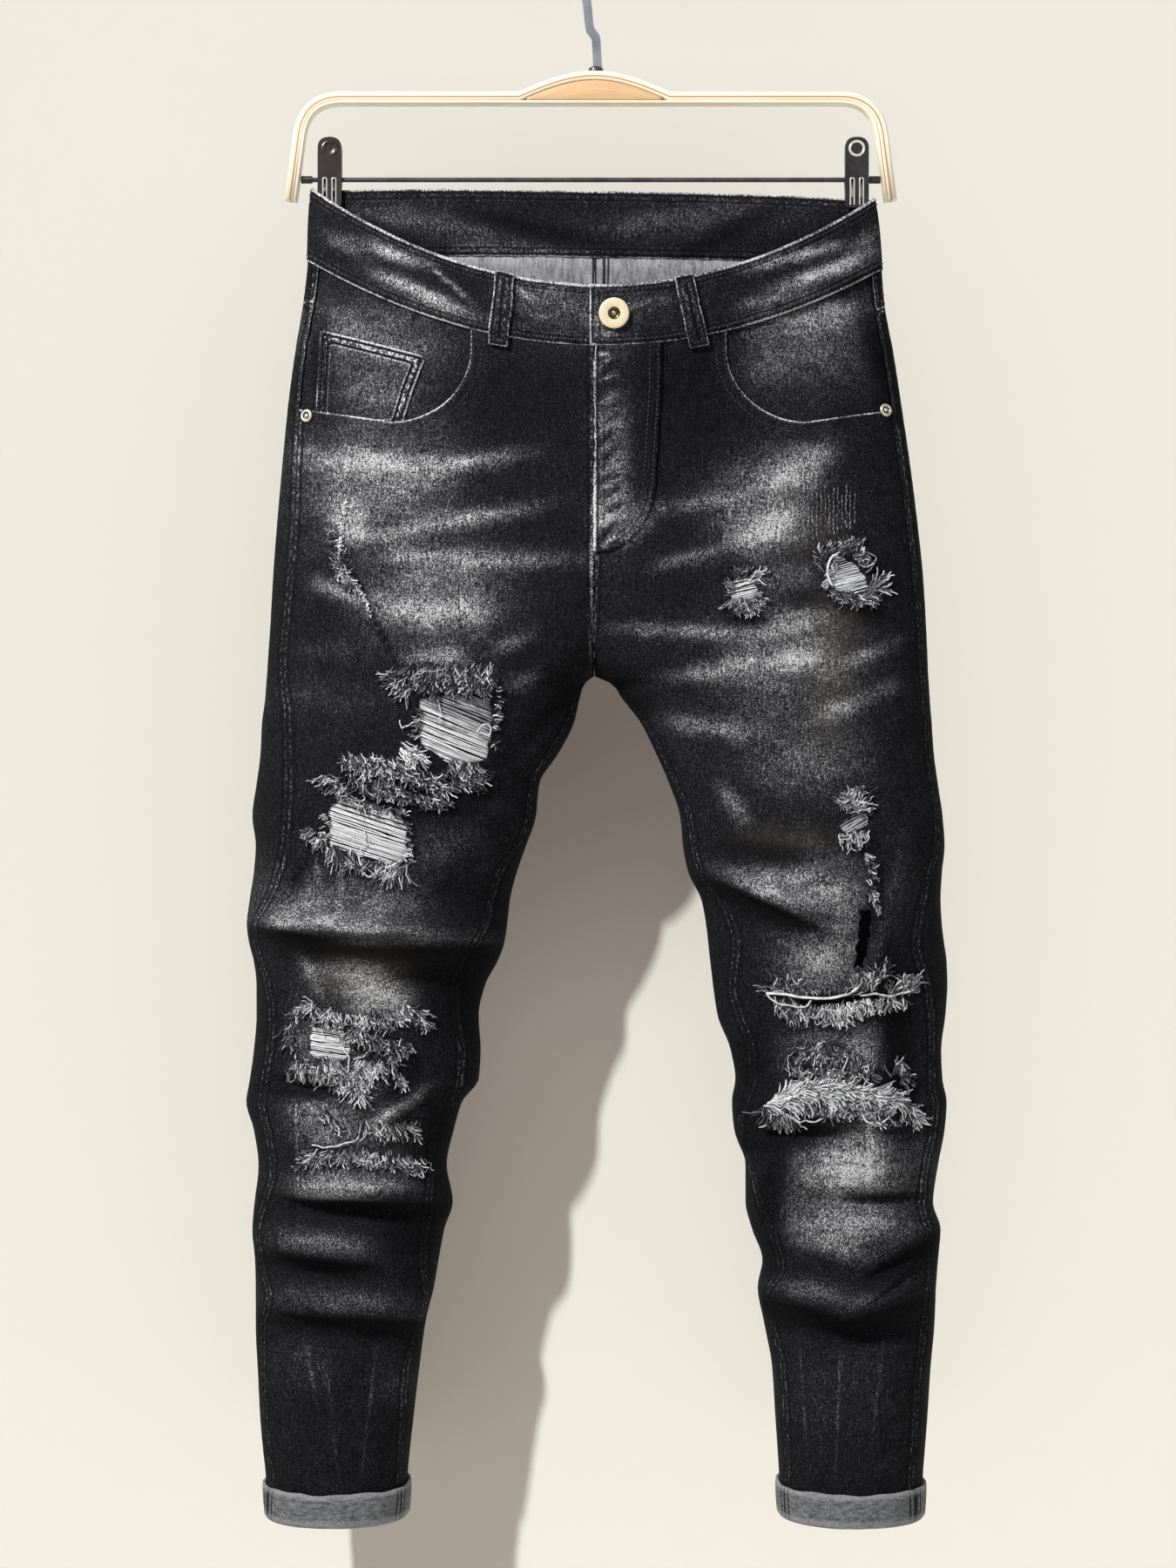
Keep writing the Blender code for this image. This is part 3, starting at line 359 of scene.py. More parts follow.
# Smaller creases. Lean is in degrees, positive where the crease falls to the right, and lower is
# how wide its lower slope is against its upper one: a small value makes a sharp fold.
CREASE_COLUMNS = ("x", "down", "reach", "width", "lean", "out", "lower")
FLY_PUCKERS = [
    (down, down * 3 % 7, -20 - down * 5 % 34)
    for down in (126, 136, 151, 160, 175, 187, 204, 214, 226, 243, 256)
]
CREASES = {
    "front": (
        *((4 + aside, down, 9, 3.4, lean, 1.9, 0.5) for down, aside, lean in FLY_PUCKERS),
        (-166, 543, 100, 13, 3, 9.0, 0.14), (-219, 650, 38, 9, 5, 5.0, 0.25),
        (-145, 672, 22, 7, -33, 6.0, 0.6), (-146, 655, 22, 8, 65, -6.0, 1.0),
        (-172, 739, 64, 12, 2, 6.5, 0.14), (-196, 771, 44, 9, 6, 4.0, 0.4), (-211, 782, 44, 9, 7, 6.0, 0.14),
        (-185, 824, 64, 11, 3, 5.5, 0.14), (-33, 385, 45, 7, -46, -4.0, 1.0), (-62, 462, 24, 10, 8, 5.0, 0.6),
        (-132, 520, 22, 4, 62, 2.5, 1.0), (-100, 505, 30, 14, -55, -4.0, 1.0),
        (-224, 500, 26, 8, -60, 3.0, 0.5), (-208, 880, 30, 12, 30, 1.6, 1.0),
        (-170, 905, 34, 12, 40, 1.4, 1.0), (113, 515, 48, 13, 23, 8.5, 0.14), (119, 484, 34, 8, 8, -4.0, 1.0),
        (212, 530, 45, 7, -78, 3.0, 0.6), (138, 693, 42, 8, -6, -4.5, 0.5), (160, 683, 52, 6, 2, 3.0, 0.3),
        (189, 741, 38, 5, 3, -3.0, 0.7), (216, 800, 34, 9, -30, 7.5, 0.25), (224, 778, 30, 7, -33, 4.0, 0.2),
        (146, 815, 38, 11, 14, 7.5, 0.14), (206, 817, 36, 11, -17, 7.5, 0.14),
        (150, 768, 24, 5, 48, 2.5, 1.0), (112, 730, 22, 12, 60, 3.0, 1.0), (25, 395, 40, 7, 55, -3.0, 1.0),
        (92, 448, 26, 10, 40, 2.5, 0.7), (168, 605, 46, 5, -12, 2.0, 0.5), (178, 640, 44, 5, 8, 2.0, 0.5),
        (205, 890, 36, 12, -30, 1.4, 1.0),
    ),
    "back": (
        (-120, 385, 75, 9, -18, 3.5, 0.5), (-90, 420, 60, 9, -30, 3.0, 0.5), (-160, 520, 70, 9, 8, 4.0, 0.3),
        (-175, 590, 60, 8, -12, 4.5, 0.3), (-180, 622, 55, 8, 10, 4.5, 0.3), (-185, 690, 55, 8, -6, 4.0, 0.3),
        (-185, 780, 50, 9, 9, 3.5, 0.3), (-190, 850, 46, 10, -8, 3.0, 0.4), (115, 380, 75, 9, 20, 3.5, 0.5),
        (85, 425, 60, 9, 32, 3.0, 0.5), (165, 512, 70, 9, -9, 4.0, 0.3), (170, 585, 60, 8, 10, 4.5, 0.3),
        (178, 628, 55, 8, -8, 4.5, 0.3), (182, 700, 55, 8, 8, 4.0, 0.3), (185, 775, 50, 9, -10, 3.5, 0.3),
        (186, 855, 46, 10, 6, 3.0, 0.4),
    ),
}

# Where the wash and the wear have bleached the cloth, and in the fades also where highlights are painted on
# the lit sides of folds, as strokes with soft ends. A row may end with how wide the stroke's lower side is
# against its upper one.
STROKE_COLUMNS = ("x", "down", "reach", "width", "lean", "strength", "lower")
WHISKERS = {
    "front": (
        # The tops of the fly's puckers: partly wear, partly painted highlight.
        *(
            (4 + aside, down - 1, 8, 2.4, lean, 0.25 + down * 3 % 5 * 0.09)
            for down, aside, lean in FLY_PUCKERS
        ),
        (-151, 44, 24, 5, 21, 0.8), (-127, 75, 42, 5.5, 23, 0.85), (-109, 66, 24, 2, 41, 0.8),
        (-186, 38, 18, 6, 25, 0.45), (-52, 76, 12, 3, 40, 0.6), (-32, 72, 16, 4, -20, 0.45),
        (-46, 88, 16, 3, 20, 0.4), (146, 46, 38, 5, -15, 0.65), (166, 58, 42, 6, -19, 0.85),
        (182, 50, 30, 3, -24, 0.6), (196, 34, 16, 6, -40, 0.45), (128, 78, 30, 4, -12, 0.4),
        (33, 82, 22, 3, -14, 0.45), (-164, 198, 50, 9, 6, 0.62), (-92, 197, 46, 7, -8, 0.62),
        (-112, 242, 70, 7, -10, 0.62), (-184, 242, 16, 11, 0, 0.55), (-86, 269, 74, 7, 0, 0.55),
        (-124, 309, 44, 12, 4, 0.72), (-191, 292, 22, 7, 18, 0.55), (-120, 341, 30, 10, 0, 0.55),
        (-62, 330, 18, 7, -24, 0.35), (-56, 358, 15, 7, -18, 0.4), (68, 228, 40, 6, -8, 0.42),
        (148, 200, 30, 12, -25, 0.7), (124, 248, 27, 12, -18, 0.74), (70, 267, 32, 6, -15, 0.42),
        (28, 249, 15, 6, -40, 0.4), (137, 282, 24, 9, -10, 0.42), (60, 322, 48, 6, 3, 0.52),
        (140, 317, 32, 10, -12, 0.6), (104, 349, 54, 7, -7, 0.55), (148, 342, 24, 12, -16, 0.5),
        (192, 341, 32, 6, -22, 0.45), (180, 378, 24, 8, -22, 0.5), (212, 364, 11, 6, -20, 0.35),
        (82, 392, 42, 8, 8, 0.46),
    ),
}
# Wash and wear, and painted highlights on the lit upper sides of folds, as above the left knee's deep fold.
FADES_AND_HIGHLIGHTS = {
    "front": (
        (160, 550, 36, 36, 0, 0.34), (-180, 640, 40, 40, 0, 0.22), (20, 92, 56, 24, -5, 0.3),
        (-42, 84, 38, 20, 10, 0.34), (5, 103, 8, 3, -6, 0.6), (-60, 120, 44, 22, 4, 0.14),
        (-160, 212, 60, 42, 0, 0.55), (-118, 290, 56, 34, 0, 0.5), (-190, 335, 32, 9, 0, 0.16),
        (-196, 370, 48, 14, 0, 0.16), (-113, 476, 26, 24, 0, 0.26), (-190, 522, 72, 26, 3, 0.44, 0.75),
        (-198, 538, 56, 9, 3, 0.5, 0.6), (-110, 548, 36, 7, -2, 0.4, 0.7), (-214, 508, 26, 1.6, 78, 0.45),
        (-206, 506, 24, 1.4, 84, 0.45), (-190, 515, 24, 1.4, 92, 0.35), (-226, 520, 10, 28, 25, 0.45),
        (-212, 572, 26, 5, 62, 0.45), (-172, 578, 28, 20, 60, 0.74), (-158, 590, 26, 13, 10, 0.6),
        (-186, 570, 30, 10, 0, 0.45), (-219, 620, 12, 28, 0, 0.34), (-206, 672, 28, 16, 0, 0.5),
        (-145, 671, 24, 5, -33, 0.95), (-184, 693, 40, 12, 0, 0.4), (-182, 730, 46, 13, 0, 0.62, 0.7),
        (-196, 738, 22, 5, 2, 0.5, 0.7), (-222, 690, 60, 1.2, 88, 0.3), (-196, 900, 40, 1.0, 84, 0.26),
        (-168, 890, 44, 1.0, 97, 0.26), (-212, 860, 36, 1.0, 80, 0.24), (176, 890, 50, 1.0, 92, 0.24),
        (205, 880, 44, 1.0, 96, 0.22), (150, 880, 40, 1.0, 86, 0.22), (-202, 772, 40, 10, 6, 0.42, 0.8),
        (-184, 816, 62, 12, 3, 0.3, 0.7), (-216, 858, 26, 20, 25, 0.16), (-150, 872, 20, 20, 20, 0.16),
        (126, 226, 46, 34, -12, 0.58), (140, 340, 56, 44, 0, 0.42), (160, 418, 44, 28, 0, 0.34),
        (110, 405, 60, 44, 0, 0.1), (99, 448, 18, 7, 55, 0.44), (150, 508, 50, 28, 8, 0.6, 0.6),
        (118, 510, 34, 7, 22, 0.5, 0.7), (168, 564, 28, 28, 0, 0.44), (212, 520, 48, 12, -80, 0.32),
        (181, 630, 42, 20, 0, 0.52), (190, 714, 50, 31, 0, 0.66), (199, 712, 34, 2.2, 90, 0.55),
        (186, 722, 22, 30, 0, 0.36), (182, 758, 48, 14, 4, 0.6), (170, 774, 34, 9, 14, 0.4),
        (150, 806, 36, 9, 12, 0.36, 0.7), (213, 803, 30, 9, -30, 0.45, 0.7), (175, 880, 50, 40, 0, 0.1),
        (12, 190, 14, 62, 0, 0.42), (9, 165, 12, 16, 70, 0.35), (9, 228, 10, 12, 60, 0.35),
        (-5.6, 302, 46, 1.4, 90, 0.6), (-5.6, 268, 10, 3, 90, 0.4), (14, 236, 22, 14, -40, 0.35),
        (-165, 106, 62, 26, 12, 0.42), (-166, 146, 30, 20, 6, 0.28), (148, 112, 56, 34, -10, 0.4),
        (160, 92, 44, 10, -14, 0.4), (-3, 94.5, 4.5, 1.6, 10, 0.9), (4, 118, 5, 1.4, 5, 0.9),
    ),
    "back": (
        (-120, 16, 70, 12, 4, 0.34), (-60, 40, 60, 10, 10, 0.26), (70, 16, 90, 12, -6, 0.3),
        (-115, 190, 70, 60, 0, 0.38), (115, 190, 70, 60, 0, 0.38), (-150, 430, 50, 90, 0, 0.28),
        (150, 430, 50, 90, 0, 0.28), (-175, 520, 60, 8, 8, 0.4), (170, 512, 60, 8, -9, 0.4),
        (-178, 588, 50, 8, -12, 0.45), (172, 584, 50, 8, 10, 0.45), (-182, 620, 46, 8, 10, 0.45),
        (180, 626, 46, 8, -8, 0.45), (-186, 688, 46, 8, -6, 0.38), (184, 698, 46, 8, 8, 0.38),
    ),
}
# Cloth that kept its black dye, and painted shade under the folds, creases, tufts and puckers.
DARKS_AND_SHADE = {
    "front": (
        *(
            (6 + aside, down + 5, 8, 2.0, lean, 0.3 + down * 3 % 4 * 0.1)
            for down, aside, lean in FLY_PUCKERS
        ),
        (-60, 132, 46, 48, 0, 0.45), (62, 138, 44, 56, 0, 0.6), (-158.5, 326, 20, 1.3, 64, 0.95),
        (-180, 283, 16, 2.0, 52, 0.85), (194, 305, 16, 7, 24, 0.75), (110, 313, 16, 5, -4, 0.7),
        (160, 300, 18, 8, 10, 0.35), (188, 476, 16, 6, 0, 0.55), (171, 228, 18, 9, 0, 0.4),
        (-226, 545, 30, 2, 9, 0.95, 4), (-96, 556, 34, 2, 0, 0.98, 14), (-160, 556, 52, 2, 2, 0.95, 3.5),
        (-92, 590, 34, 30, 0, 0.8), (-111, 448, 32, 15, -8, 0.8), (-96, 515, 26, 22, -35, 0.6),
        (-219, 660, 32, 6, 4, 0.75), (-142, 652, 12, 20, 15, 0.65), (-116, 690, 12, 30, 0, 0.7),
        (-166, 743, 64, 2, 2, 0.95, 6), (-138, 765, 24, 16, 10, 0.8), (-211, 785, 46, 2, 7, 0.97, 5),
        (-186, 828, 66, 2, 3, 0.95, 7), (-222, 500, 10, 24, 20, 0.5), (117, 521, 46, 2, 23, 0.95, 6),
        (119, 485, 36, 8, 6, 0.75), (222, 620, 14, 72, 0, 0.85), (205, 520, 7, 40, 12, 0.6),
        (134, 694, 40, 8, -10, 0.9), (112, 640, 14, 40, 0, 0.55), (212, 738, 28, 3, -2, 0.6),
        (224, 783, 36, 5, -34, 0.97, 3), (127, 732, 9, 34, 8, 0.8), (148, 820, 42, 2, 14, 0.97, 7),
        (207, 822, 40, 2, -16, 0.97, 7), (122, 780, 16, 26, 0, 0.5), (-30, 372, 30, 14, -45, 0.6),
        (22, 372, 24, 14, 50, 0.55), (-205, 124, 7, 30, 0, 0.7), (206, 122, 8, 32, -12, 0.8),
    ),
    "back": (
        (-50, 22, 60, 7, 12, 0.75), (90, 30, 50, 7, -28, 0.7), (-150, 30, 40, 5, 20, 0.5),
    ),
}
TANS = {
    "front": (
        (172, 360, 14, 44, 8, 0.42), (141, 474, 34, 9, 2, 0.4), (160, 246, 22, 22, 0, 0.3),
        (168, 320, 26, 26, 0, 0.3), (-150, 706, 10, 10, 0, 0.3), (-172, 577, 34, 18, 0, 0.5),
    ),
}

POCKET_MIDDLE = (149.0, 121.0)
POCKET_RADII = (57.0, 52.0)
POCKET_SIDE = 147.0

# Outlines of the tears, as seen from the front, then the lean of the yarns across each in degrees, how far
# apart they lie, and their tone at the top and at the foot, from black 0 to white 1. A darker tone is partly
# the yarns' own grey-tan and partly painted shade, mostly under the cloth above the tear.
TEARS = {
    "thigh_left": (
        ((-132, 371), (-105, 368), (-79, 371), (-78, 389), (-82, 416), (-97, 420), (-109, 419), (-132, 404)),
        22, 1.15, 0.45, 0.95,
    ),
    "above_knee_left": (
        (
            (-198, 449), (-188, 446), (-170, 447), (-158, 452), (-141, 462), (-141, 490), (-154, 493),
            (-199, 480),
        ),
        18, 1.1, 0.92, 1.0,
    ),
    "knee_left": (
        ((-212, 611), (-190, 613), (-181, 620), (-184, 636), (-200, 639), (-213, 633)), 8, 1.2, 1.0, 1.0,
    ),
    "knee_opening_left": (
        ((-181, 620), (-165, 619), (-145, 622), (-149, 629), (-161, 633), (-182, 634)), 3, 1.4, 0.5, 0.25,
    ),
    "thigh_right": (
        ((98, 285), (105, 281), (115, 283), (117, 298), (112, 302), (103, 303), (97, 298)),
        -13, 1.0, 0.85, 1.0,
    ),
    "hip_right": (
        (
            (171, 270), (178, 266), (188, 271), (195, 279), (198, 290), (192, 296), (184, 294), (171, 290),
            (169, 279),
        ),
        -15, 1.0, 0.8, 1.0,
    ),
    "slash_right": (
        ((175, 464), (186, 457), (199, 452), (197, 464), (191, 468), (181, 469)), -30, 1.0, 0.7, 0.75,
    ),
    "slit_right": (((193, 527), (201, 528), (199, 548), (195, 569), (188, 568)), 0, 0, 0, 0),
    "above_knee_right": (
        (
            (126, 589), (150, 592), (184, 590), (205, 589), (228, 587), (212, 593), (190, 597), (166, 600),
            (140, 598),
        ),
        0, 0, 0, 0,
    ),
    "knee_right": (
        (
            (122, 670), (138, 660), (142, 652), (178, 653), (219, 660), (228, 667), (214, 678), (160, 679),
            (138, 674),
        ),
        -2, 1.1, 0.95, 0.95,
    ),
}


def smooth(at, values, wanted):
    """A curve through the rows that never overshoots them."""
    step = np.diff(at)
    rise = np.diff(values) / step
    slope = np.zeros(len(at))
    slope[0], slope[-1] = rise[0], rise[-1]
    same = rise[:-1] * rise[1:] > 0
    total = np.where(same, rise[:-1] + rise[1:], 1.0)
    slope[1:-1] = np.where(same, 2 * rise[:-1] * rise[1:] / total, 0.0)
    wanted = np.clip(wanted, at[0], at[-1])
    row = np.clip(np.searchsorted(at, wanted, side="right") - 1, 0, len(at) - 2)
    t = (wanted - at[row]) / step[row]
    start, end = values[row], values[row + 1]
    out, into = slope[row] * step[row], slope[row + 1] * step[row]
    return (
        start * (1 + 2 * t) * (1 - t) ** 2
        + out * t * (1 - t) ** 2
        + end * t**2 * (3 - 2 * t)
        + into * t**2 * (t - 1)
    )


def columns_of(rows, names):
    table = np.array(rows, float)
    return {name: table[:, i] for i, name in enumerate(names)}


def named(rows, names):
    """The rows as dicts by column name. Short rows leave out the last names."""
    return [dict(zip(names, row)) for row in rows]


LEGS = {leg: columns_of(rows, LEG_COLUMNS) for leg, rows in LEG_ROWS.items()}
BODY = columns_of(BODY_ROWS, BODY_COLUMNS)


def leg_value(leg, name, down):
    return smooth(LEGS[leg]["down"], LEGS[leg][name], down)


def body_value(name, down):
    return smooth(BODY["down"], BODY[name], down)


def signed_power(value, power):
    return np.sign(value) * np.abs(value) ** power


def turned_axes(x, down, row, lean):
    """Distances along and below a stroke or a crease that leans this much."""
    across, below = x - row["x"], down - row["down"]
    along = across * math.cos(lean) + below * math.sin(lean)
    return along, below * math.cos(lean) - across * math.sin(lean)


def strokes(table, face, x, down):
    """How strongly a table's strokes cover each place, from 0 to 1."""
    bare = np.ones(np.shape(x))
    for row in named(table.get(face, ()), STROKE_COLUMNS):
        along, beside = turned_axes(x, down, row, math.radians(row["lean"]))
        width = row["width"] * np.where(beside > 0, row.get("lower", 1.0), 1.0)
        cover = np.exp(-np.abs(along / row["reach"]) ** 3 - (beside / width) ** 2)
        bare = bare * (1 - row["strength"] * cover)
    return 1 - bare


def relief(tables, columns, in_front, x, down, power):
    """How far the folds or creases of both faces stand out of the smooth surface."""
    total = np.zeros(np.shape(x))
    for face, here in (("front", in_front), ("back", ~in_front)):
        for row in named(tables[face], columns):
            lean = math.radians(row["lean"]) if "lean" in row else math.atan(row["fall"])
            along, beside = turned_axes(x, down, row, lean)
            width = row["width"] * np.where(beside > 0, row.get("lower", 1.0), 1.0)
            height = row["out"] * np.exp(-((beside / width) ** 2) - np.abs(along / row["reach"]) ** power)
            total += np.where(here, height, 0.0)
    return total


def wander(along, across, span, seed):
    """A smooth uneven ripple, from about -1 to 1, that repeats nowhere near."""
    total = 0.0
    for step in range(4):
        turn = seed * 1.7 + step * 2.4
        scale = 2 * math.pi / span * (0.7 + 0.37 * step)
        total = total + np.sin(scale * (along * math.cos(turn) + across * math.sin(turn)) + 3.1 * turn)
    return total / 2.6


def back_rise(from_centre, down):
    """How far up the back has ridden, from its centre 0 to its side 1."""
    return (1 - from_centre**4) * np.interp(down, *BACK_RISE)


def surface(leg, angle, down):
    """Points of the outside of the cloth, in mm. Angle 0 is the side crease, pi the inner edge by
    way of the front, -pi by way of the back, and below -pi the front again."""
    outer, inner = leg_value(leg, "outer", down), leg_value(leg, "inner", down)
    in_front = (angle >= 0) | (angle < -math.pi - 1e-9)
    turn = signed_power(np.cos(angle), 2 / ROUNDNESS)
    x = outer + (inner - outer) * 0.5 * (1 - turn)
    bow = np.abs(np.sin(angle)) ** (2 / ROUNDNESS)
    mid = np.where(in_front, body_value("front_mid", down), body_value("back_mid", down))
    leg_bow = np.where(turn < 0, mid + (1 - mid) * bow, bow)
    from_centre = np.clip((x - CENTRE) / (outer - CENTRE), 0, 1)
    waist_bow = np.where(in_front, 1 - from_centre**2, (1 - from_centre**10) ** 0.1)
    waist = body_value("waist", down)
    depth = np.where(in_front, body_value("front", down), body_value("back", down))
    droop = body_value("droop", down)
    fall = np.where(in_front, droop * (1 - from_centre**2), -back_rise(from_centre, down))
    seen_x = EYE[0] + (x - EYE[0]) * SIGHT_FROM_FRONT
    seen_down = EYE_DOWN + (down + fall - EYE_DOWN) * SIGHT_FROM_FRONT
    out = depth * (waist * waist_bow + (1 - waist) * leg_bow)
    folds = relief(FOLDS[leg], FOLD_COLUMNS, in_front, x, down, 4)
    small = relief(CREASES, CREASE_COLUMNS, in_front, seen_x, seen_down, 3)
    small += np.where(in_front, WHISKER_RISE * strokes(WHISKERS, "front", seen_x, seen_down), 0.0)
    small += 0.7 * wander(seen_x, seen_down, 70.0, 1) + 0.35 * wander(seen_x, seen_down, 23.0, 3)
    out = out + (folds + small) * np.abs(np.sin(angle)) ** 0.8
    lean = TILT * (x - CENTRE) * droop / BODY["droop"][0]
    return np.stack(
        [x, MIDDLE + np.where(in_front, -out, out), -HOOK_TO_RIM - down - fall - lean], axis=-1
    )


def angle_at(leg, x, down):
    """The angle on the front face where the surface has this x."""
    outer, inner = leg_value(leg, "outer", down), leg_value(leg, "inner", down)
    turn = np.clip(1 - 2 * (x - outer) / (inner - outer), -1, 1)
    return np.arccos(signed_power(turn, ROUNDNESS / 2))


def panel_angles(leg, face, down, cells):
    """Angles from the side seam to the inseam, a row for each level."""
    start = angle_at(leg, leg_value(leg, "side_seam", down), down)
    end = angle_at(leg, leg_value(leg, "inseam", down), down) - (0 if face == "front" else 2 * math.pi)
    return start[:, None] + (end - start)[:, None] * np.linspace(0, 1, cells + 1)


def unit(vectors):
    return vectors / np.maximum(np.linalg.norm(vectors, axis=-1, keepdims=True), 1e-9)


def levels(first, last, cell):
    return np.linspace(first, last, round((last - first) / cell) + 1)


def lengths_along(points, axis):
    """Distance of each grid point from the first one of its row or column."""
    steps = np.linalg.norm(np.diff(points, axis=axis), axis=-1)
    return np.concatenate([np.zeros_like(np.take(steps, [0], axis)), np.cumsum(steps, axis)], axis)


def grid_normals(points, inner_x=None):
    """Unit normals of a grid, turned away from the middle of each row, or from this x."""
    x = points[..., 0].mean(1) if inner_x is None else np.full(len(points), inner_x)
    inside = np.stack([x, np.full(len(points), MIDDLE), points[..., 2].mean(1)], -1)
    normal = unit(np.cross(np.gradient(points, axis=1), np.gradient(points, axis=0)))
    outside = np.sign(((points - inside[:, None]) * normal).sum(axis=(1, 2)))
    return normal * np.sign(outside.sum() or 1)


def panel_grid(leg, angles, downs, out=0.0):
    """The points and normals of a panel, out mm off the surface, with its seams drawn up a little,
    and the distance from the nearer seam."""
    downs = np.broadcast_to(downs, angles.shape)
    points = surface(leg, angles, downs)
    normals = grid_normals(points)
    from_start = lengths_along(points, 1)
    from_end = from_start[:, -1:] - from_start
    side_ripple = np.sin(downs / 2.1 + 2 * np.sin(downs / 11)) * np.exp(-from_start / 7)
    inner_ripple = np.sin(downs / 2.4 + 2 * np.sin(downs / 13)) * np.exp(-from_end / 7)
    out = out + 0.5 * side_ripple + 0.5 * inner_ripple
    return points + normals * out[..., None], normals, np.minimum(from_start, from_end)


def new_mesh(name, points, faces, caps=()):
    """A mesh of points in mm and of faces with four corners, with any caps."""
    mesh = bpy.data.meshes.new(name)
    faces = faces.reshape(-1, 4).tolist() + [*caps]
    mesh.from_pydata((points.reshape(-1, 3) * MM).tolist(), [], faces)
    return mesh


def add_layer(mesh, name, values):
    mesh.attributes.new(name, "FLOAT", "POINT").data.foreach_set("value", np.array(values).ravel())


@contextlib.contextmanager
def edited(mesh):
    work = bmesh.new()
    work.from_mesh(mesh)
    yield work
    work.to_mesh(mesh)
    work.free()


def grid_mesh(name, points, layers, normals, closed=False):
    """A mesh on a grid of points in mm, facing the way of the normals, with float layers that
    trimming interpolates."""
    rows, cols = points.shape[:2]
    number = np.arange(rows * cols).reshape(rows, cols)
    if closed:
        number = np.concatenate([number, number[:, :1]], axis=1)
    faces = np.stack([number[:-1, :-1], number[:-1, 1:], number[1:, 1:], number[1:, :-1]], -1)
    across, along = np.gradient(points, axis=1), np.gradient(points, axis=0)
    if (np.cross(across, along) * normals).sum() < 0:
        faces = faces[..., ::-1]
    mesh = new_mesh(name, points, faces)
    for layer, values in layers.items():
        add_layer(mesh, layer, values)
    return mesh


def trim(mesh, place):
    """Cuts the mesh where place(points) is 0, and drops what is below 0. Both are in mm."""
    with edited(mesh) as work:
        level = dict(zip(work.verts, place(np.array([vert.co for vert in work.verts]) / MM)))
        for edge in list(work.edges):
            a, b = edge.verts
            if level[a] * level[b] < 0:
                share = level[a] / (level[a] - level[b])
                level[bmesh.utils.edge_split(edge, a, share)[1]] = 0.0
        for face in list(work.faces):
            ends = [vert for vert in face.verts if level[vert] == 0.0]
            if len(ends) == 2 and all(edge.other_vert(ends[0]) is not ends[1] for edge in ends[0].link_edges):
                bmesh.utils.face_split(face, *ends)
        gone = [face for face in work.faces if sum(level[vert] for vert in face.verts) < 0]
        bmesh.ops.delete(work, geom=gone, context="FACES")


def outline_distance(outline, x, y):
    """Distance from a closed outline, below 0 inside it."""
    corners = np.array(outline, float)
    nearest = np.full(np.shape(x), 1e9)
    inside = np.zeros(np.shape(x), bool)
    for (ax, ay), (bx, by) in zip(corners, np.roll(corners, -1, axis=0)):
        dx, dy = bx - ax, by - ay
        t = np.clip(((x - ax) * dx + (y - ay) * dy) / (dx * dx + dy * dy), 0, 1)
        nearest = np.minimum(nearest, np.hypot(x - ax - t * dx, y - ay - t * dy))
        crosses = (ay > y) != (by > y)
        inside ^= crosses & (x < ax + (y - ay) * dx / (dy or 1e-9))
    return np.where(inside, -nearest, nearest)


def sighted(points):
    """x and down of points in mm, as they look from the camera on the plane of the side creases."""
    scale = (SIGHT_PLANE - EYE[1]) / (points[..., 1] - EYE[1])
    x = EYE[0] + (points[..., 0] - EYE[0]) * scale
    z = EYE[2] + (points[..., 2] - EYE[2]) * scale
    return x, -HOOK_TO_RIM - z


def arc(middle, radii, start, end, steps):
    turns = np.radians(np.linspace(start, end, steps + 1))
    return [(middle[0] + radii[0] * math.cos(t), middle[1] + radii[1] * math.sin(t)) for t in turns]


def pocket_mouth(side, wider=0.0):
    """Outline of a pocket's curved opening, in x and down."""
    middle, corner = POCKET_MIDDLE
    curve = arc((middle, corner), [radius + wider for radius in POCKET_RADII], 180, 90, 24)
    far = middle * 2
    outline = [(curve[0][0], 0.0), *curve, (far, POCKET_SIDE + wider), (far, 0.0)]
    return [(side * x, down) for x, down in outline]


def points_of(mesh):
    points = np.empty(len(mesh.vertices) * 3)
    mesh.vertices.foreach_get("co", points)
    return points.reshape(-1, 3) / MM


def corners_and_faces(mesh):
    return [tuple(vert.co) for vert in mesh.vertices], [tuple(face.vertices) for face in mesh.polygons]


def flat_place(points):
    return points[..., 0], -HOOK_TO_RIM - points[..., 2]


def paint(mesh):
    """Stores the wash with its painted highlights, the dye left in the folds with the painted shade, and the
    tan stains on the mesh's points.
    """
    points = points_of(mesh)
    layers = {"wash_and_highlight": 0.0, "dye_and_shade": 0.0, "tan": 0.0}
    for face, (x, down) in {"front": sighted(points), "back": flat_place(points)}.items():
        here = (points[:, 1] < MIDDLE) == (face == "front")
        kept_dye_and_shade = strokes(DARKS_AND_SHADE, face, x, down) * here
        bare = (1 - strokes(WHISKERS, face, x, down)) * (1 - strokes(FADES_AND_HIGHLIGHTS, face, x, down))
        layers["wash_and_highlight"] = layers["wash_and_highlight"] + (1 - bare) * (1 - 0.8 * kept_dye_and_shade) * here
        layers["dye_and_shade"] = layers["dye_and_shade"] + kept_dye_and_shade
        layers["tan"] = layers["tan"] + strokes(TANS, face, x, down) * here
    for name, values in layers.items():
        add_layer(mesh, name, values)


def add_piece(name, mesh, materials, nodes=(), thick=0.0):
    """Puts a mesh in the scene, riding on the one body. Cloth is thickened to its inner side."""
    obj = new_object(name, mesh)
    for material in materials:
        mesh.materials.append(material)
    mesh.shade_smooth()
    if thick:
        shell = obj.modifiers.new("thickness", "SOLIDIFY")
        shell.thickness = thick * MM
        shell.offset = -1
        shell.material_offset = len(materials) - 1
    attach(obj, "root")
    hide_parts(*nodes)
    return obj


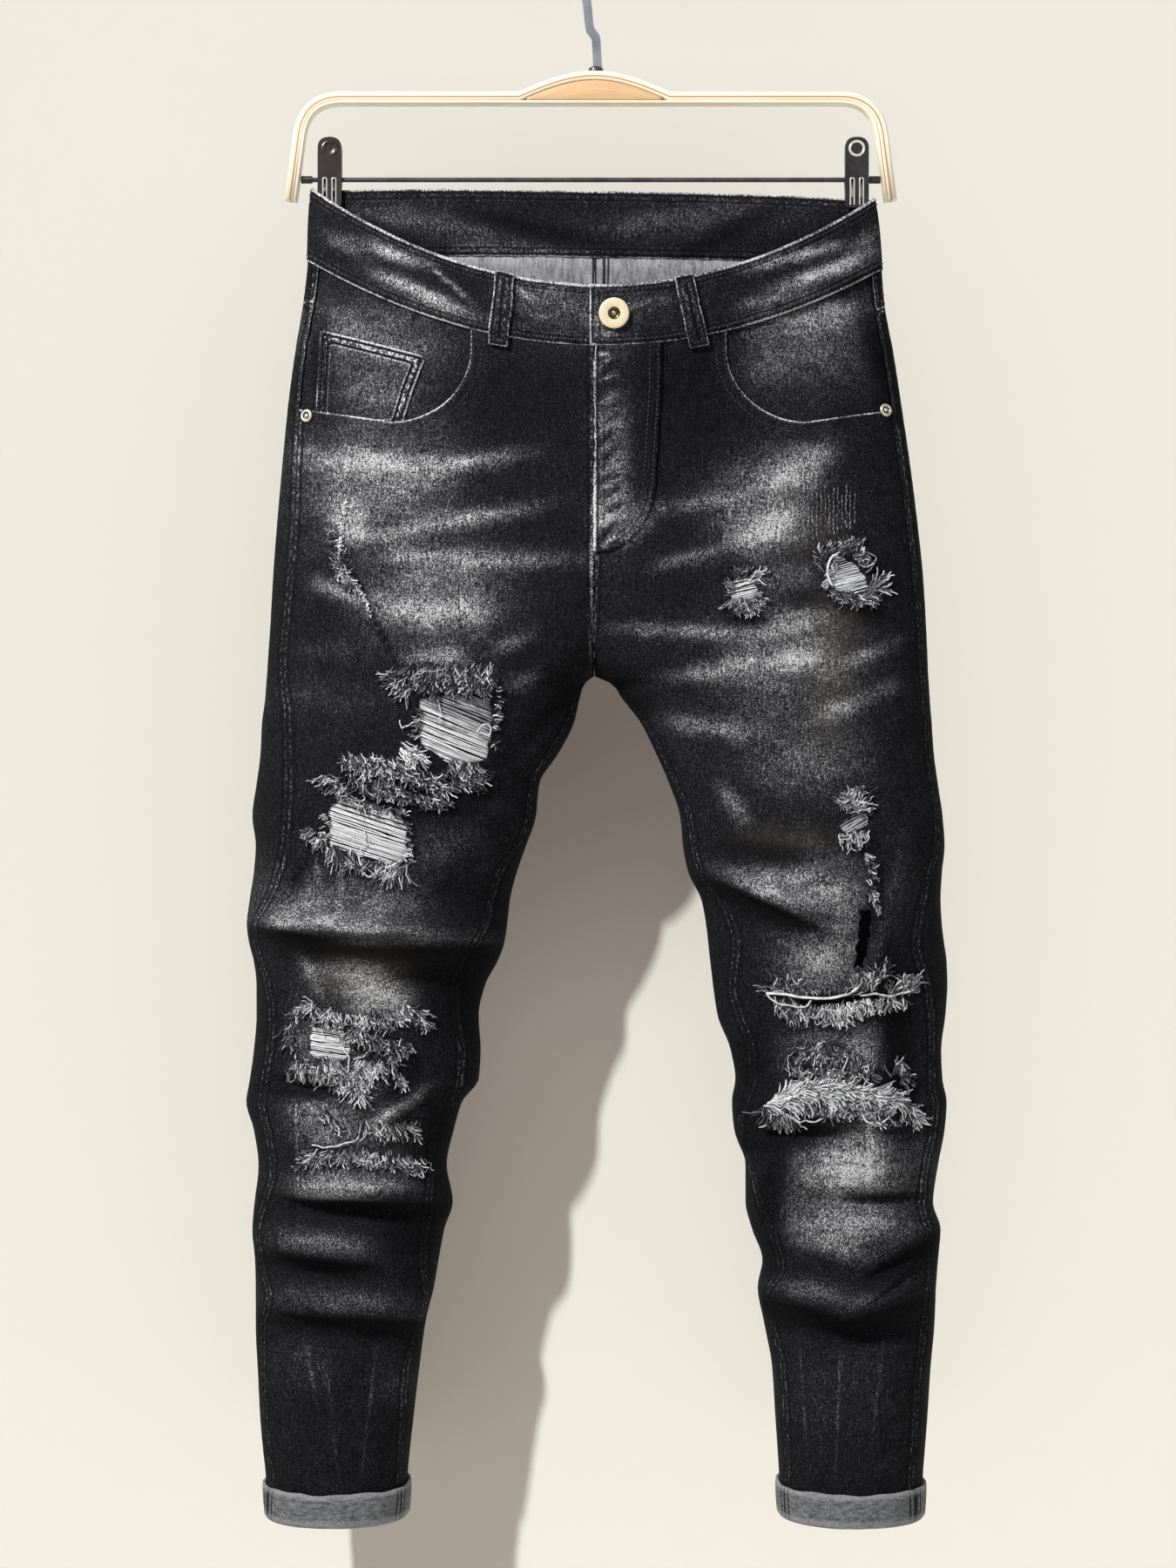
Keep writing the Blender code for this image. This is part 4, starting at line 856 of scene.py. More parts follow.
def washed_denim(name):
    """Black denim, which the wash and the worn edges turn grey through its grain. The wash layer also carries
    painted highlights, and the dye layer painted shade. The layers seam and edge are distances in mm."""
    made, wire, shader = new_material(name, Roughness=0.85, Specular_IOR_Level=0.08)
    place = wire.place()
    layers = ("wash_and_highlight", "dye_and_shade", "tan", "seam", "edge", "ladder")
    wash_and_highlight, dye_and_shade, tan, seam, edge, ladder = (wire.layer(layer) for layer in layers)
    grain = place.noise(900.0, 3.0, 0.7)
    upright = place.stretched((1.0, 1.0, 0.2))
    slub = upright.noise(900.0, 2.0)
    flat = place.stretched((1.0, 1.0, 3.0))
    streak = flat.noise(30.0, 5.0, 0.7)
    cloud = place.noise(42.0, 5.0, 0.65)
    blob = place.noise(420.0, 1.0)
    speck = grain * 0.78 + slub * 0.22
    ridge = (1 - edge.between(0.3, 1.7)) * (grain * 0.6 + cloud.between(0.3, 0.7) * 0.7 + 0.15)
    rungs = edge.within(2.9, 3.5, 5.6, 6.3) * blob.between(0.46, 0.58) * ladder
    rungs = rungs + edge.within(7.8, 8.2, 8.8, 9.2) * ladder * 0.6
    # Dark bands along the rows of stitches: the black thread and painted shade beside it.
    rows = edge.within(1.3, 1.8, 2.9, 3.4) + edge.within(5.9, 6.4, 7.4, 7.9)
    dashes = seam.within(1.0, 1.8, 2.4, 3.4) * blob.between(0.46, 0.6)
    groove = seam.within(3.4, 4.6, 5.2, 6.4)
    rubbed = streak.between(0.42, 0.62)
    amount = wash_and_highlight * (cloud * 0.5 + rubbed * 0.3 + 0.45) + ridge * 0.9 + rungs * 0.55 + dashes * 0.3
    amount = amount + cloud * 0.14 - 0.06
    amount = amount * (1 - dye_and_shade * 0.92) * seam.between(0.1, 0.9) * (1 - groove * 0.6)
    amount = amount * (1 - rows * ladder * 0.9)
    tone = (speck - 0.5) * (amount * 3.2 + 1.45) + amount * 0.86 + 0.21
    tone = tone - dye_and_shade * 0.12 - groove * 0.07 - rows * ladder * 0.15
    stops = [
        (0.0, (0.001, 0.001, 0.0014, 1)),
        (0.2, (0.0048, 0.0048, 0.006, 1)),
        (0.4, (0.021, 0.021, 0.025, 1)),
        (0.6, (0.09, 0.09, 0.097, 1)),
        (0.8, (0.255, 0.256, 0.267, 1)),
        (1.0, (0.56, 0.562, 0.58, 1)),
    ]
    colour = wire.node("ShaderNodeValToRGB", {"stops": stops}, {0: tone})
    colour = (tan * (0.2 + cloud * 0.9)).blend(colour, (0.072, 0.06, 0.044, 1))
    colour.feed(shader, "Base Color")
    speck.emboss(shader, 0.4, 0.0006)
    return made


def reverse_denim():
    """The cloth's pale inner side, where the white weft shows, with the felled seams' dark threads."""
    made, wire, shader = new_material("denim_reverse", Roughness=0.88, Specular_IOR_Level=0.15)
    place = wire.place()
    seam = wire.layer("seam")
    grain = place.noise(640.0, 3.0, 0.75)
    slant = place.stretched((1.0, 1.0, 0.15), (0, 0.6, 0))
    twill = slant.noise(620.0, 2.0)
    cloud = place.noise(45.0, 3.0)
    show = (grain * 0.4 + twill * 0.4 + cloud * 0.2).between(0.3, 0.7)
    colour = show.blend((0.085, 0.086, 0.098, 1), (0.37, 0.37, 0.4, 1))
    sewn = (1 - seam.between(1.3, 2.0)) + seam.within(5.8, 6.4, 8.2, 8.8)
    sewn = sewn + seam.within(9.5, 9.9, 10.9, 11.3)
    colour = (sewn * 0.95).blend(colour, (0.012, 0.012, 0.014, 1))
    colour.feed(shader, "Base Color")
    (grain + twill).emboss(shader, 0.3, 0.0005)
    return made


DENIM = washed_denim("washed_black_denim")
REVERSE = reverse_denim()
WHOLE_FRONTS = []  # points and faces of both fronts before they are torn


def ragged_distance(outline, x, down):
    """Distance from a tear's outline, made uneven as torn cloth is."""
    uneven = 1.3 * wander(x, down, 9.0, 5)
    return outline_distance(outline, x, down) + uneven + 0.6 * wander(x, down, 4.0, 8)


def wear_edge(mesh, outline, ladder=0.0, hidden=0.0):
    """Stores the distance from the outline, along which the cloth's folded edge has worn, and how
    much the cloth has also worn between its two rows of stitches. Hidden is how far in the wear
    starts."""
    x, down = flat_place(points_of(mesh))
    distance = np.abs(outline_distance(outline, x, down)) + hidden
    if hidden:
        distance = np.minimum(distance, np.abs(x - CENTRE))
    add_layer(mesh, "edge", distance)
    add_layer(mesh, "ladder", np.full(len(distance), ladder))


def front_rows(leg, first, last):
    downs = levels(first, last, FRONT_CELL)
    return panel_angles(leg, "front", downs, FRONT_CELLS), downs[:, None]


def front(leg):
    points, normals, seam = panel_grid(leg, *front_rows(leg, BAND, HEM))
    mesh = grid_mesh(f"front_{leg}", points, {"seam": seam}, normals)
    WHOLE_FRONTS.append(corners_and_faces(mesh))
    mouth = pocket_mouth(SIDE_OF_LEG[leg])
    trim(mesh, lambda at: outline_distance(mouth, *flat_place(at)))
    for name, (outline, *_) in TEARS.items():
        if name.endswith(leg):
            trim(mesh, lambda at: ragged_distance(outline, *sighted(at)))
    wear_edge(mesh, mouth)
    paint(mesh)
    return add_piece(f"{leg}_front", mesh, (DENIM, REVERSE), (f"front_{leg}",), thick=CLOTH)


FRONTS = {leg: front(leg) for leg in LEGS}

# ---- The backs and the yokes ----
# The back panels of the same denim wrap round both seams of each leg; above them the yokes shape
# the seat, in two pieces that meet in a shallow V.

YOKE_SIDE, YOKE_FADE, YOKE_DIP = 81.0, 154.0, 35.0
FAR = 99.0  # further than any seam shows
YOKE_SEAM = {"left": 5.0, "right": FAR}  # the most that a place of a yoke is from a seam


def dipped(angles, downs):
    """The levels, dipping to the centre as the yoke's seam does. The dip fades out further down."""
    dip = np.interp(downs, (BAND, YOKE_SIDE, YOKE_FADE), (0, YOKE_DIP, 0))
    return downs[:, None] + dip[:, None] * np.clip(-angles / math.pi, 0, 1)


def back_rows(leg, first, last, cells=BACK_CELLS):
    downs = levels(first, last, BACK_CELL)
    angles = panel_angles(leg, "back", downs, cells)
    return angles, dipped(angles, downs)


def back(name, leg, first, last):
    angles, downs = back_rows(leg, first, last)
    points, normals, seam = panel_grid(leg, angles, downs)
    from_top = lengths_along(points, 0)
    edge = seam + np.interp(downs, (BAND, 250, 420), (0.0, 0.4, 1.2))
    if first > BAND:
        seam = np.minimum(seam, from_top)
    else:
        edge = np.minimum(edge, from_top[-1:] - from_top)
        seam = np.minimum(seam, YOKE_SEAM[leg])
    layers = {"seam": seam, "edge": edge, "ladder": 0 * edge + 0.6 * (first == BAND)}
    mesh = grid_mesh(name, points, layers, normals)
    paint(mesh)
    return add_piece(f"{name}_cloth", mesh, (DENIM, REVERSE), (name,), thick=CLOTH)


BACKS = {leg: back(f"back_{leg}", leg, YOKE_SIDE, HEM) for leg in LEGS}
YOKES = {leg: back(f"yoke_{leg}", leg, BAND, YOKE_SIDE) for leg in LEGS}

# ---- Pocket facings, coin pocket, fly and back pockets ----
# Single and double layers of the same denim, cut to outlines and topstitched onto the panels: the
# facings show inside the front pockets' curved mouths, and the coin pocket is sewn on the left one.

PATCH = 1.2
POCKET_FOOT, PATCH_FOOT = 244.0, 319.0
FACING_MARGIN = 14.0
COIN_POCKET = ((-203, 103), (-124.5, 126), (-134, 150), (-143, 180), (-165, 180), (-206, 172))
FLY = {"width": 48.0, "straight_to": 150.0, "corner": 44.0, "corner_down": 214.0, "foot": 268.0}
BACK_POCKET = ((52, 146), (190, 138), (192, 262), (124, 292), (58, 268))


def patch(name, leg, grid, out, outline, thick=PATCH, ladder=0.0, hidden=0.0):
    """A piece that follows a panel's grid, out mm off it, cut to an outline in x and down."""
    angles, downs = grid
    points, normals, _ = panel_grid(leg, angles, downs, out)
    mesh = grid_mesh(name, points, {"seam": np.full(angles.shape, FAR)}, normals)
    trim(mesh, lambda at: -outline_distance(outline, *flat_place(at)))
    wear_edge(mesh, outline, ladder, hidden)
    paint(mesh)
    return add_piece(f"{name}_cloth", mesh, (DENIM, REVERSE), (name,), thick=thick)


def fly_outline():
    curve = arc((CENTRE, FLY["corner_down"]), (FLY["corner"], FLY["foot"] - FLY["corner_down"]), 0, 78, 14)
    near, far = CENTRE - FLY["width"], CENTRE + FLY["width"]
    return [(near, 0), (far, 0), (far, FLY["straight_to"]), *curve, (near, FLY["foot"])]


def facing(leg, side):
    rows, outline = front_rows(leg, BAND, POCKET_FOOT), pocket_mouth(side, FACING_MARGIN)
    return patch(f"pocket_facing_{leg}", leg, rows, -CLOTH - GAP, outline)


def back_pocket(leg, side):
    rows = back_rows(leg, YOKE_SIDE, PATCH_FOOT, POCKET_CELLS)
    outline = [(side * x, down) for x, down in BACK_POCKET]
    return patch(f"back_pocket_{leg}", leg, rows, GAP + CLOTH, outline, CLOTH, 1.0)


FACINGS = {leg: facing(leg, side) for leg, side in SIDE_OF_LEG.items()}
COIN_ROWS, FLY_ROWS = front_rows("left", BAND, POCKET_FOOT), front_rows("right", BAND, PATCH_FOOT)
COIN = patch("coin_pocket", "left", COIN_ROWS, PATCH - CLOTH + GAP / 4, COIN_POCKET, PATCH, 1.0)
FLY_FLAP = patch("fly", "right", FLY_ROWS, GAP + PATCH, fly_outline(), PATCH, 0.2, 2.6)
BACK_POCKETS = {leg: back_pocket(leg, side) for leg, side in SIDE_OF_LEG.items()}

# ---- The waistband ----
# A strip of denim folded double and stuffed with its own seam allowances, so both edges stand up
# and have worn pale. It buttons over itself at the centre front, and is stitched close to each edge.

BAND_OUT, BAND_WALL = 1.0, 3.0
BAND_STITCHES = 4.5  # how far its stitches lie from its edges, and press it in
LAP_END, LAP_UNDER = -8.0, 30.0


def leg_of(x):
    return "right" if x > CENTRE else "left"


def column(leg, x, downs):
    """Angles that keep to one x on the front."""
    return angle_at(leg, np.full(len(downs), float(x)), downs)


def band_columns(downs):
    """Every column of the band from under the lap, round by the left and the back, to the button:
    its leg, its angle at each level, and how far it is lowered to lie beneath the lap."""
    columns = []
    for x in np.arange(LAP_UNDER, -200, -2.5):
        leg = leg_of(x)
        share = np.clip((x + 24) / 12, 0, 1)
        columns.append((leg, column(leg, x, downs), share * share * (3 - 2 * share)))
    for leg, order in (("left", 1), ("right", -1)):
        columns += [(leg, angles, 0.0) for angles in panel_angles(leg, "back", downs, 80).T[::order]]
    front = np.arange(196, LAP_END - 0.1, -2.5)
    return columns + [(leg_of(x), column(leg_of(x), x, downs), 0.0) for x in front]


def band_grid(downs):
    """Points and normals of the band's middle layer, a row for each level."""
    columns = band_columns(downs)
    points = np.stack([surface(leg, angles, downs) for leg, angles, _ in columns], axis=1)
    normals = grid_normals(points, CENTRE)
    return points, normals, np.array([under for *_, under in columns])


def waistband():
    downs = np.linspace(0, BAND, 15)
    points, normals, under = band_grid(downs)
    last = len(downs) - 1
    outer, inner = BAND_OUT, BAND_OUT - BAND_WALL
    swell = 0.5 * np.sin(np.pi * downs / BAND) ** 2
    for row in (BAND_STITCHES, BAND - BAND_STITCHES):
        swell -= 0.35 * np.exp(-(((downs - row) / 1.8) ** 2))
    section = [(i, outer + swell[i], 0.0) for i in range(last, 0, -1)]
    section += [(0, outer, -1.0), (0, outer - 0.5, 0.1), (0, (outer + inner) / 2, 0.5), (0, inner + 0.5, 0.1)]
    section += [(i, inner, 0.0) for i in range(1, last + 1)]
    section += [(last, (outer + inner) / 2, -0.5)]
    lowered = under * (BAND_WALL + 2 * GAP)
    along = lengths_along(points, 1)
    to_end = along[0, -1] - along[0]
    rows, edge = [], []
    for level, out, rise in section:
        ripple = 0.25 * np.sin(along[level] / 2.3 + 1.5 * np.sin(along[level] / 17))
        ripple *= min(level, last - level) < 3
        rows.append(points[level] + normals[level] * (out + ripple - lowered)[:, None] + (0, 0, rise))
        edge.append(np.minimum(to_end, min(downs[level], BAND - downs[level])))
    grid, edge = np.array(rows), np.array(edge).T
    facing = np.cross(np.gradient(grid, axis=1), np.gradient(grid, axis=0))
    facing *= np.sign((facing[: last - 1] * normals[last - 1 : 0 : -1]).sum())
    layers = {"edge": edge, "seam": edge + 9, "ladder": 0 * edge + 0.3}
    mesh = grid_mesh("waistband", grid.swapaxes(0, 1), layers, facing.swapaxes(0, 1), closed=True)
    paint(mesh)
    return add_piece("band", mesh, (DENIM,), ("waistband",))


WAISTBAND = waistband()

# ---- Belt loops ----
# Strips folded to three layers, topstitched along both edges and sewn over the band.

LOOP = {"half": 7.0, "thick": 2.0, "foot": 63.0, "over": 1.2, "stitches": 4.4}
LOOPS = (  # name, leg, face, x at the top, x at the foot
    ("front_left", "left", "front", -66.5, -72.0),
    ("front_right", "right", "front", 60.5, 72.0),
    ("back_left", "left", "back", -120.0, -120.0),
    ("back_right", "right", "back", 114.0, 114.0),
    ("back_centre", "right", "back", 7.0, 7.0),
)


def belt_loop(name, leg, face, x_top, x_foot):
    half, foot = LOOP["half"], LOOP["foot"]
    downs = np.linspace(-LOOP["over"], foot, 44)
    share = (downs / foot)[:, None]
    across = np.linspace(-1, 1, 13) * half
    x = x_top + (x_foot - x_top) * share + across
    at = np.broadcast_to(np.clip(downs, 0, None)[:, None], x.shape)
    angles = angle_at(leg, x, at) * (1 if face == "front" else -1)
    points = surface(leg, angles, at)
    points[..., 2] += at - downs[:, None]
    normals = grid_normals(points, CENTRE)
    on_band = np.clip((BAND + 4 - downs) / 8, 0, 1)[:, None]
    lift = 0.6 * on_band + 0.7 * np.sin(np.pi * np.clip(share * 1.12, 0, 1))
    lift = lift - 0.4 * np.abs(across / half) ** 6
    lift = lift - 0.3 * np.exp(-((np.abs(across) - LOOP["stitches"]) ** 2))
    out = BAND_OUT + GAP + LOOP["thick"] + lift
    edge = np.minimum(half - np.abs(across), np.minimum(downs + LOOP["over"], foot - downs)[:, None])
    layers = {"edge": edge, "seam": edge + 9, "ladder": 0 * edge + 0.5}
    mesh = grid_mesh(f"belt_loop_{name}", points + normals * out[..., None], layers, normals)
    paint(mesh)
    return add_piece(f"loop_{name}", mesh, (DENIM,), (f"belt_loop_{name}",), thick=LOOP["thick"])


BELT_LOOPS = [belt_loop(*row) for row in LOOPS]

# ---- The cuffs ----
# Each hem is turned up once and pressed, so the pale reverse and the dark overlocked seams show.

CUFF = {"thick": 2.4, "below": 2.4, "front_cells": 60, "back_cells": 70}


def cuff_material():
    made, wire, shader = new_material("cuff_reverse", Roughness=0.9, Specular_IOR_Level=0.15)
    place = wire.place()
    grain = place.noise(700.0, 3.0, 0.8)
    slant = place.stretched((0.3, 0.3, 1.0))
    twill = slant.noise(640.0, 2.0)
    seam = wire.layer("seam")
    edge = wire.layer("edge")
    show = (grain * 0.55 + twill * 0.45).between(0.32, 0.68)
    colour = show.blend((0.05, 0.051, 0.056, 1), (0.23, 0.235, 0.25, 1))
    sewn = (1 - seam.between(0.8, 1.5)) + seam.within(3.4, 4.0, 5.0, 5.6)
    colour = (sewn * 0.95).blend(colour, (0.012, 0.012, 0.014, 1))
    colour = ((1 - edge.between(0.3, 1.6)) * grain * 0.7).blend(colour, (0.42, 0.42, 0.43, 1))
    colour.feed(shader, "Base Color")
    (grain + twill).emboss(shader, 0.35, 0.0006)
    return made


CUFF_DENIM = cuff_material()


def cuff(leg):
    downs = np.linspace(CUFF_TOP, HEM, 9)
    front, rear = (panel_angles(leg, face, downs, CUFF[f"{face}_cells"]) for face in ("front", "back"))
    around = np.concatenate([front[:, :-1], rear[:, :0:-1]], 1)
    points = surface(leg, around, np.broadcast_to(downs[:, None], around.shape))
    ring = np.concatenate([points[:, -1:], points, points[:, :1]], 1)
    sideways = np.gradient(ring, axis=1)[:, 1:-1]
    flat = unit(sideways[..., [1, 0, 2]] * (-1, 1, 0))
    flat *= np.sign((flat * (points - points.mean(axis=1, keepdims=True))).sum())
    along = lengths_along(points, 1)
    start = np.minimum(along, lengths_along(points[:, ::-1], 1)[:, ::-1])
    seams = np.minimum(start, np.abs(along - along[:, front.shape[1] - 1][:, None]))
    outer, inner = 2 * GAP + CUFF["thick"], 2 * GAP
    ripple = 0.5 * np.sin(along[0] / 9.0) + 0.35 * np.sin(along[0] / 3.7)
    section = [(0, inner, 0.0), (0, (outer + inner) / 2, 0.8), (0, outer - 0.3, 0.2)]
    section += [(i, outer + 0.35 * math.sin(math.pi * i / 8), 0.0) for i in range(1, 8)]
    section += [(8, outer, -0.6), (8, (outer + inner) / 2, -CUFF["below"]), (8, inner, -0.8)]
    rows = []
    for level, out, rise in section:
        shift = np.stack([0 * ripple, 0 * ripple, rise + ripple * (level == 0)], -1)
        rows.append(points[level] + flat[level] * out + shift)
    order = np.array([level for level, *_ in section])
    layers = {"seam": seams[order], "edge": 4.0 - np.abs(order[:, None] - 4) + 0 * seams[order]}
    mesh = grid_mesh(f"cuff_{leg}", np.array(rows), layers, flat[order], closed=True)
    return add_piece(f"{leg}_cuff", mesh, (CUFF_DENIM,), (f"cuff_{leg}",))


CUFFS = {leg: cuff(leg) for leg in LEGS}

# ---- The topstitching ----
# Thick black thread at three millimetres a stitch: twin rows on the pockets, the fly and the yokes,
# and one row along each edge of the band and the belt loops.

STITCH, BETWEEN = 2.4, 3.3
BACK_HALF = 208.0  # half the width of the back at the band


def hard_finish(name, fresh, worn, rough, spots=260.0, **constants):
    """A finish whose tone and gloss vary in smears and in small spots, this many to the metre."""
    made, wire, shader = new_material(name, **constants)
    place = wire.place()
    spot = place.noise(spots, 4.0, 0.65)
    smear = place.noise(45.0, 3.0)
    shade = (spot * 0.5 + smear * 0.5).between(0.38, 0.62)
    shade.blend((*worn, 1), (*fresh, 1)).feed(shader, "Base Color")
    (rough * (0.55 + spot * 0.9)).feed(shader, "Roughness")
    spot.emboss(shader, 0.1, 0.0003)
    return made


THREAD = hard_finish("black_thread", (0.015, 0.015, 0.018), (0.03, 0.03, 0.034), 0.6, 900.0)


def tubes(name, paths, radii, tones, sides=4):
    """A mesh of thin tubes that all have as many points, with their tone as a layer."""
    count, length = paths.shape[:2]
    along = unit(np.gradient(paths, axis=1))
    across = unit(np.cross(along, (0.15, 1.0, 0.1)))
    upward = np.cross(across, along)
    turns = np.arange(sides) / sides * 2 * math.pi
    ring = across[:, :, None] * np.cos(turns)[:, None] + upward[:, :, None] * np.sin(turns)[:, None]
    points = paths[:, :, None] + ring * radii[:, :, None, None]
    number = np.arange(count * length * sides).reshape(count, length, sides)
    ahead = np.roll(number, -1, axis=2)
    faces = np.stack([number[:, :-1], ahead[:, :-1], ahead[:, 1:], number[:, 1:]], -1)
    mesh = new_mesh(name, points, faces)
    add_layer(mesh, "tone", np.broadcast_to(tones[..., None], number.shape))
    return mesh


def tree_of(obj):
    """The finished outer surface of a piece, to lay things on."""
    shown = obj.evaluated_get(bpy.context.evaluated_depsgraph_get()).to_mesh()
    return BVHTree.FromPolygons(*corners_and_faces(shown))


def dropped(tree, x, down, from_front=True):
    """Points and normals in mm where lines along Y meet the pieces; places that miss are left out."""
    start, way = (-300.0, 1) if from_front else (300.0, -1)
    points, normals = [], []
    for at, below in zip(x, down):
        hit, normal, _, _ = tree.ray_cast(Vector((at, start, -HOOK_TO_RIM - below)) * MM, Vector((0, way, 0)))
        if hit is not None:
            points.append(np.array(hit) / MM)
            normals.append(np.array(normal if normal.y * way < 0 else -normal))
    return np.array(points), np.array(normals)


def at_lengths(at, length, values):
    """The values part way along a line, at these distances from its start."""
    return np.stack([np.interp(at, length, one) for one in values.T], -1)


def stitches(points, normals, lift=0.15):
    """Stitches along a line of points: the middle of each stands on the cloth, and its ends dip in."""
    length = lengths_along(points, 0)
    starts = np.arange(0.5, length[-1] - STITCH, BETWEEN)
    if not len(starts):
        return np.zeros((0, 4, 3))
    at = starts[:, None] + np.linspace(0, STITCH, 4)
    path, up = (at_lengths(at, length, values) for values in (points, normals))
    return path + up * (np.array((-0.3, lift, lift, -0.3)))[:, None]


def inset(line, distance):
    """A line of (x, down) points moved to its left by this distance."""
    line = np.array(line, float)
    way = unit(np.gradient(line, axis=0))
    return line + np.stack([way[:, 1], -way[:, 0]], -1) * distance


def fine(line, step=0.8):
    """The line with points at even short steps."""
    line = np.array(line, float)
    length = lengths_along(line, 0)
    at = np.linspace(0, length[-1], max(2, int(length[-1] / step)))
    return at_lengths(at, length, line)


def sewn(lines, tree, from_front=True):
    rows = []
    for line in lines:
        x, down = fine(line).T
        points, normals = dropped(tree, x, down, from_front)
        if len(points) > 2:
            rows.append(stitches(points, normals))
    return np.concatenate(rows)


def mouth_rows(side):
    """The twin rows outside a pocket mouth."""
    mouths = (pocket_mouth(side, off)[:-1] for off in (2.2, 8.0))
    return [[(x, down) for x, down in mouth if down > 60 and abs(x) < 222] for mouth in mouths]


def pocket_rows(outline, offs):
    """Rows inside a pocket's outline, all round."""
    closed = [*outline, outline[0]]
    corners = np.array(outline, float)
    middle = corners.mean(axis=0)
    rows = []
    for off in offs:
        for a, b in zip(closed[:-1], closed[1:]):
            a, b = np.array(a, float), np.array(b, float)
            way = (b - a) / np.linalg.norm(b - a)
            normal = np.array((-way[1], way[0]))
            normal *= np.sign(normal @ (middle - a))
            rows.append([a + normal * off + way * off * 0.8, b + normal * off - way * off * 0.8])
    return rows


def band_rows():
    rows = []
    for down in (BAND_STITCHES, BAND - BAND_STITCHES):
        points, normals, under = band_grid(np.array([down - 1.5, down, down + 1.5]))
        lowered = under * (BAND_WALL + 2 * GAP)
        path = points[1] + normals[1] * (BAND_OUT + 0.05 - lowered)[:, None]
        rows.append(stitches(path, normals[1]))
    return np.concatenate(rows)


def loop_rows(name, face, x_top, x_foot):
    tree = tree_of(bpy.data.objects[f"loop_{name}"])
    foot = LOOP["foot"]
    rows = [[(x_top + off, 2.0), (x_foot + off, foot - 2)] for off in (-LOOP["stitches"], LOOP["stitches"])]
    rows.append([(x_foot - 5, foot - 4), (x_foot + 5, foot - 4)])
    lowered = drooped if face == "front" else risen
    return sewn([[(x, lowered(x, down)) for x, down in row] for row in rows], tree, face == "front")


def drooped(x, down):
    """How far below the rim a place of the front's own cloth hangs."""
    leg, downs = leg_of(x), np.array([down, down + 1.0])
    return -HOOK_TO_RIM - float(surface(leg, column(leg, x, downs), downs)[0, 2])


def risen(x, down):
    """How far below the rim a place of the back's own cloth is."""
    return down - back_rise(abs(x - CENTRE) / BACK_HALF, down)


def yoke_rows():
    rows = []
    for leg in LEGS:
        for off in (-3.0, -9.0):
            downs = YOKE_SIDE + off + np.array((-1.5, 0, 1.5))
            angles = panel_angles(leg, "back", downs, 200)
            points = surface(leg, angles, dipped(angles, downs))
            rows.append(stitches(points[1], grid_normals(points)[1]))
    return np.concatenate(rows)


def all_stitches():
    rows = [band_rows(), yoke_rows()]
    for leg, side in SIDE_OF_LEG.items():
        rows.append(sewn(mouth_rows(side), tree_of(FRONTS[leg])))
        outline = [(side * x, down) for x, down in BACK_POCKET]
        rows.append(sewn(pocket_rows(outline, (2.0, 8.0)), tree_of(BACK_POCKETS[leg]), False))
    rows.append(sewn(pocket_rows(COIN_POCKET, (2.0, 7.5)), tree_of(COIN)))
    curve = fine(fly_outline()[1:-1])
    rows.append(sewn([inset(curve, off) for off in (-2.5, -8.5)], tree_of(FLY_FLAP)))
    rows += [loop_rows(name, *rest) for name, _, *rest in LOOPS]
    paths = np.concatenate([row for row in rows if len(row)])
    radii = np.broadcast_to(np.array((0.2, 0.42, 0.42, 0.2)), paths.shape[:2])
    return tubes("stitches", paths, radii, np.zeros(paths.shape[:2]), 5)


add_piece("stitches", all_stitches(), (THREAD,))

# ---- The bared yarns and the fringe of the tears ----
# Where the cloth was slashed, the black warp is cut away and the white weft is left lying across.
# Cut warp ends stand out round the tears as a curly fringe in black, grey and white.

rng = np.random.default_rng(7)

FRAYED_TRACK = ((-186, 226), (-188, 243), (-190, 260), (-192, 273), (-186, 285), (-176, 292), (-167, 309))

DARN_ROW, DARN_STITCH = 3.1, 3.2

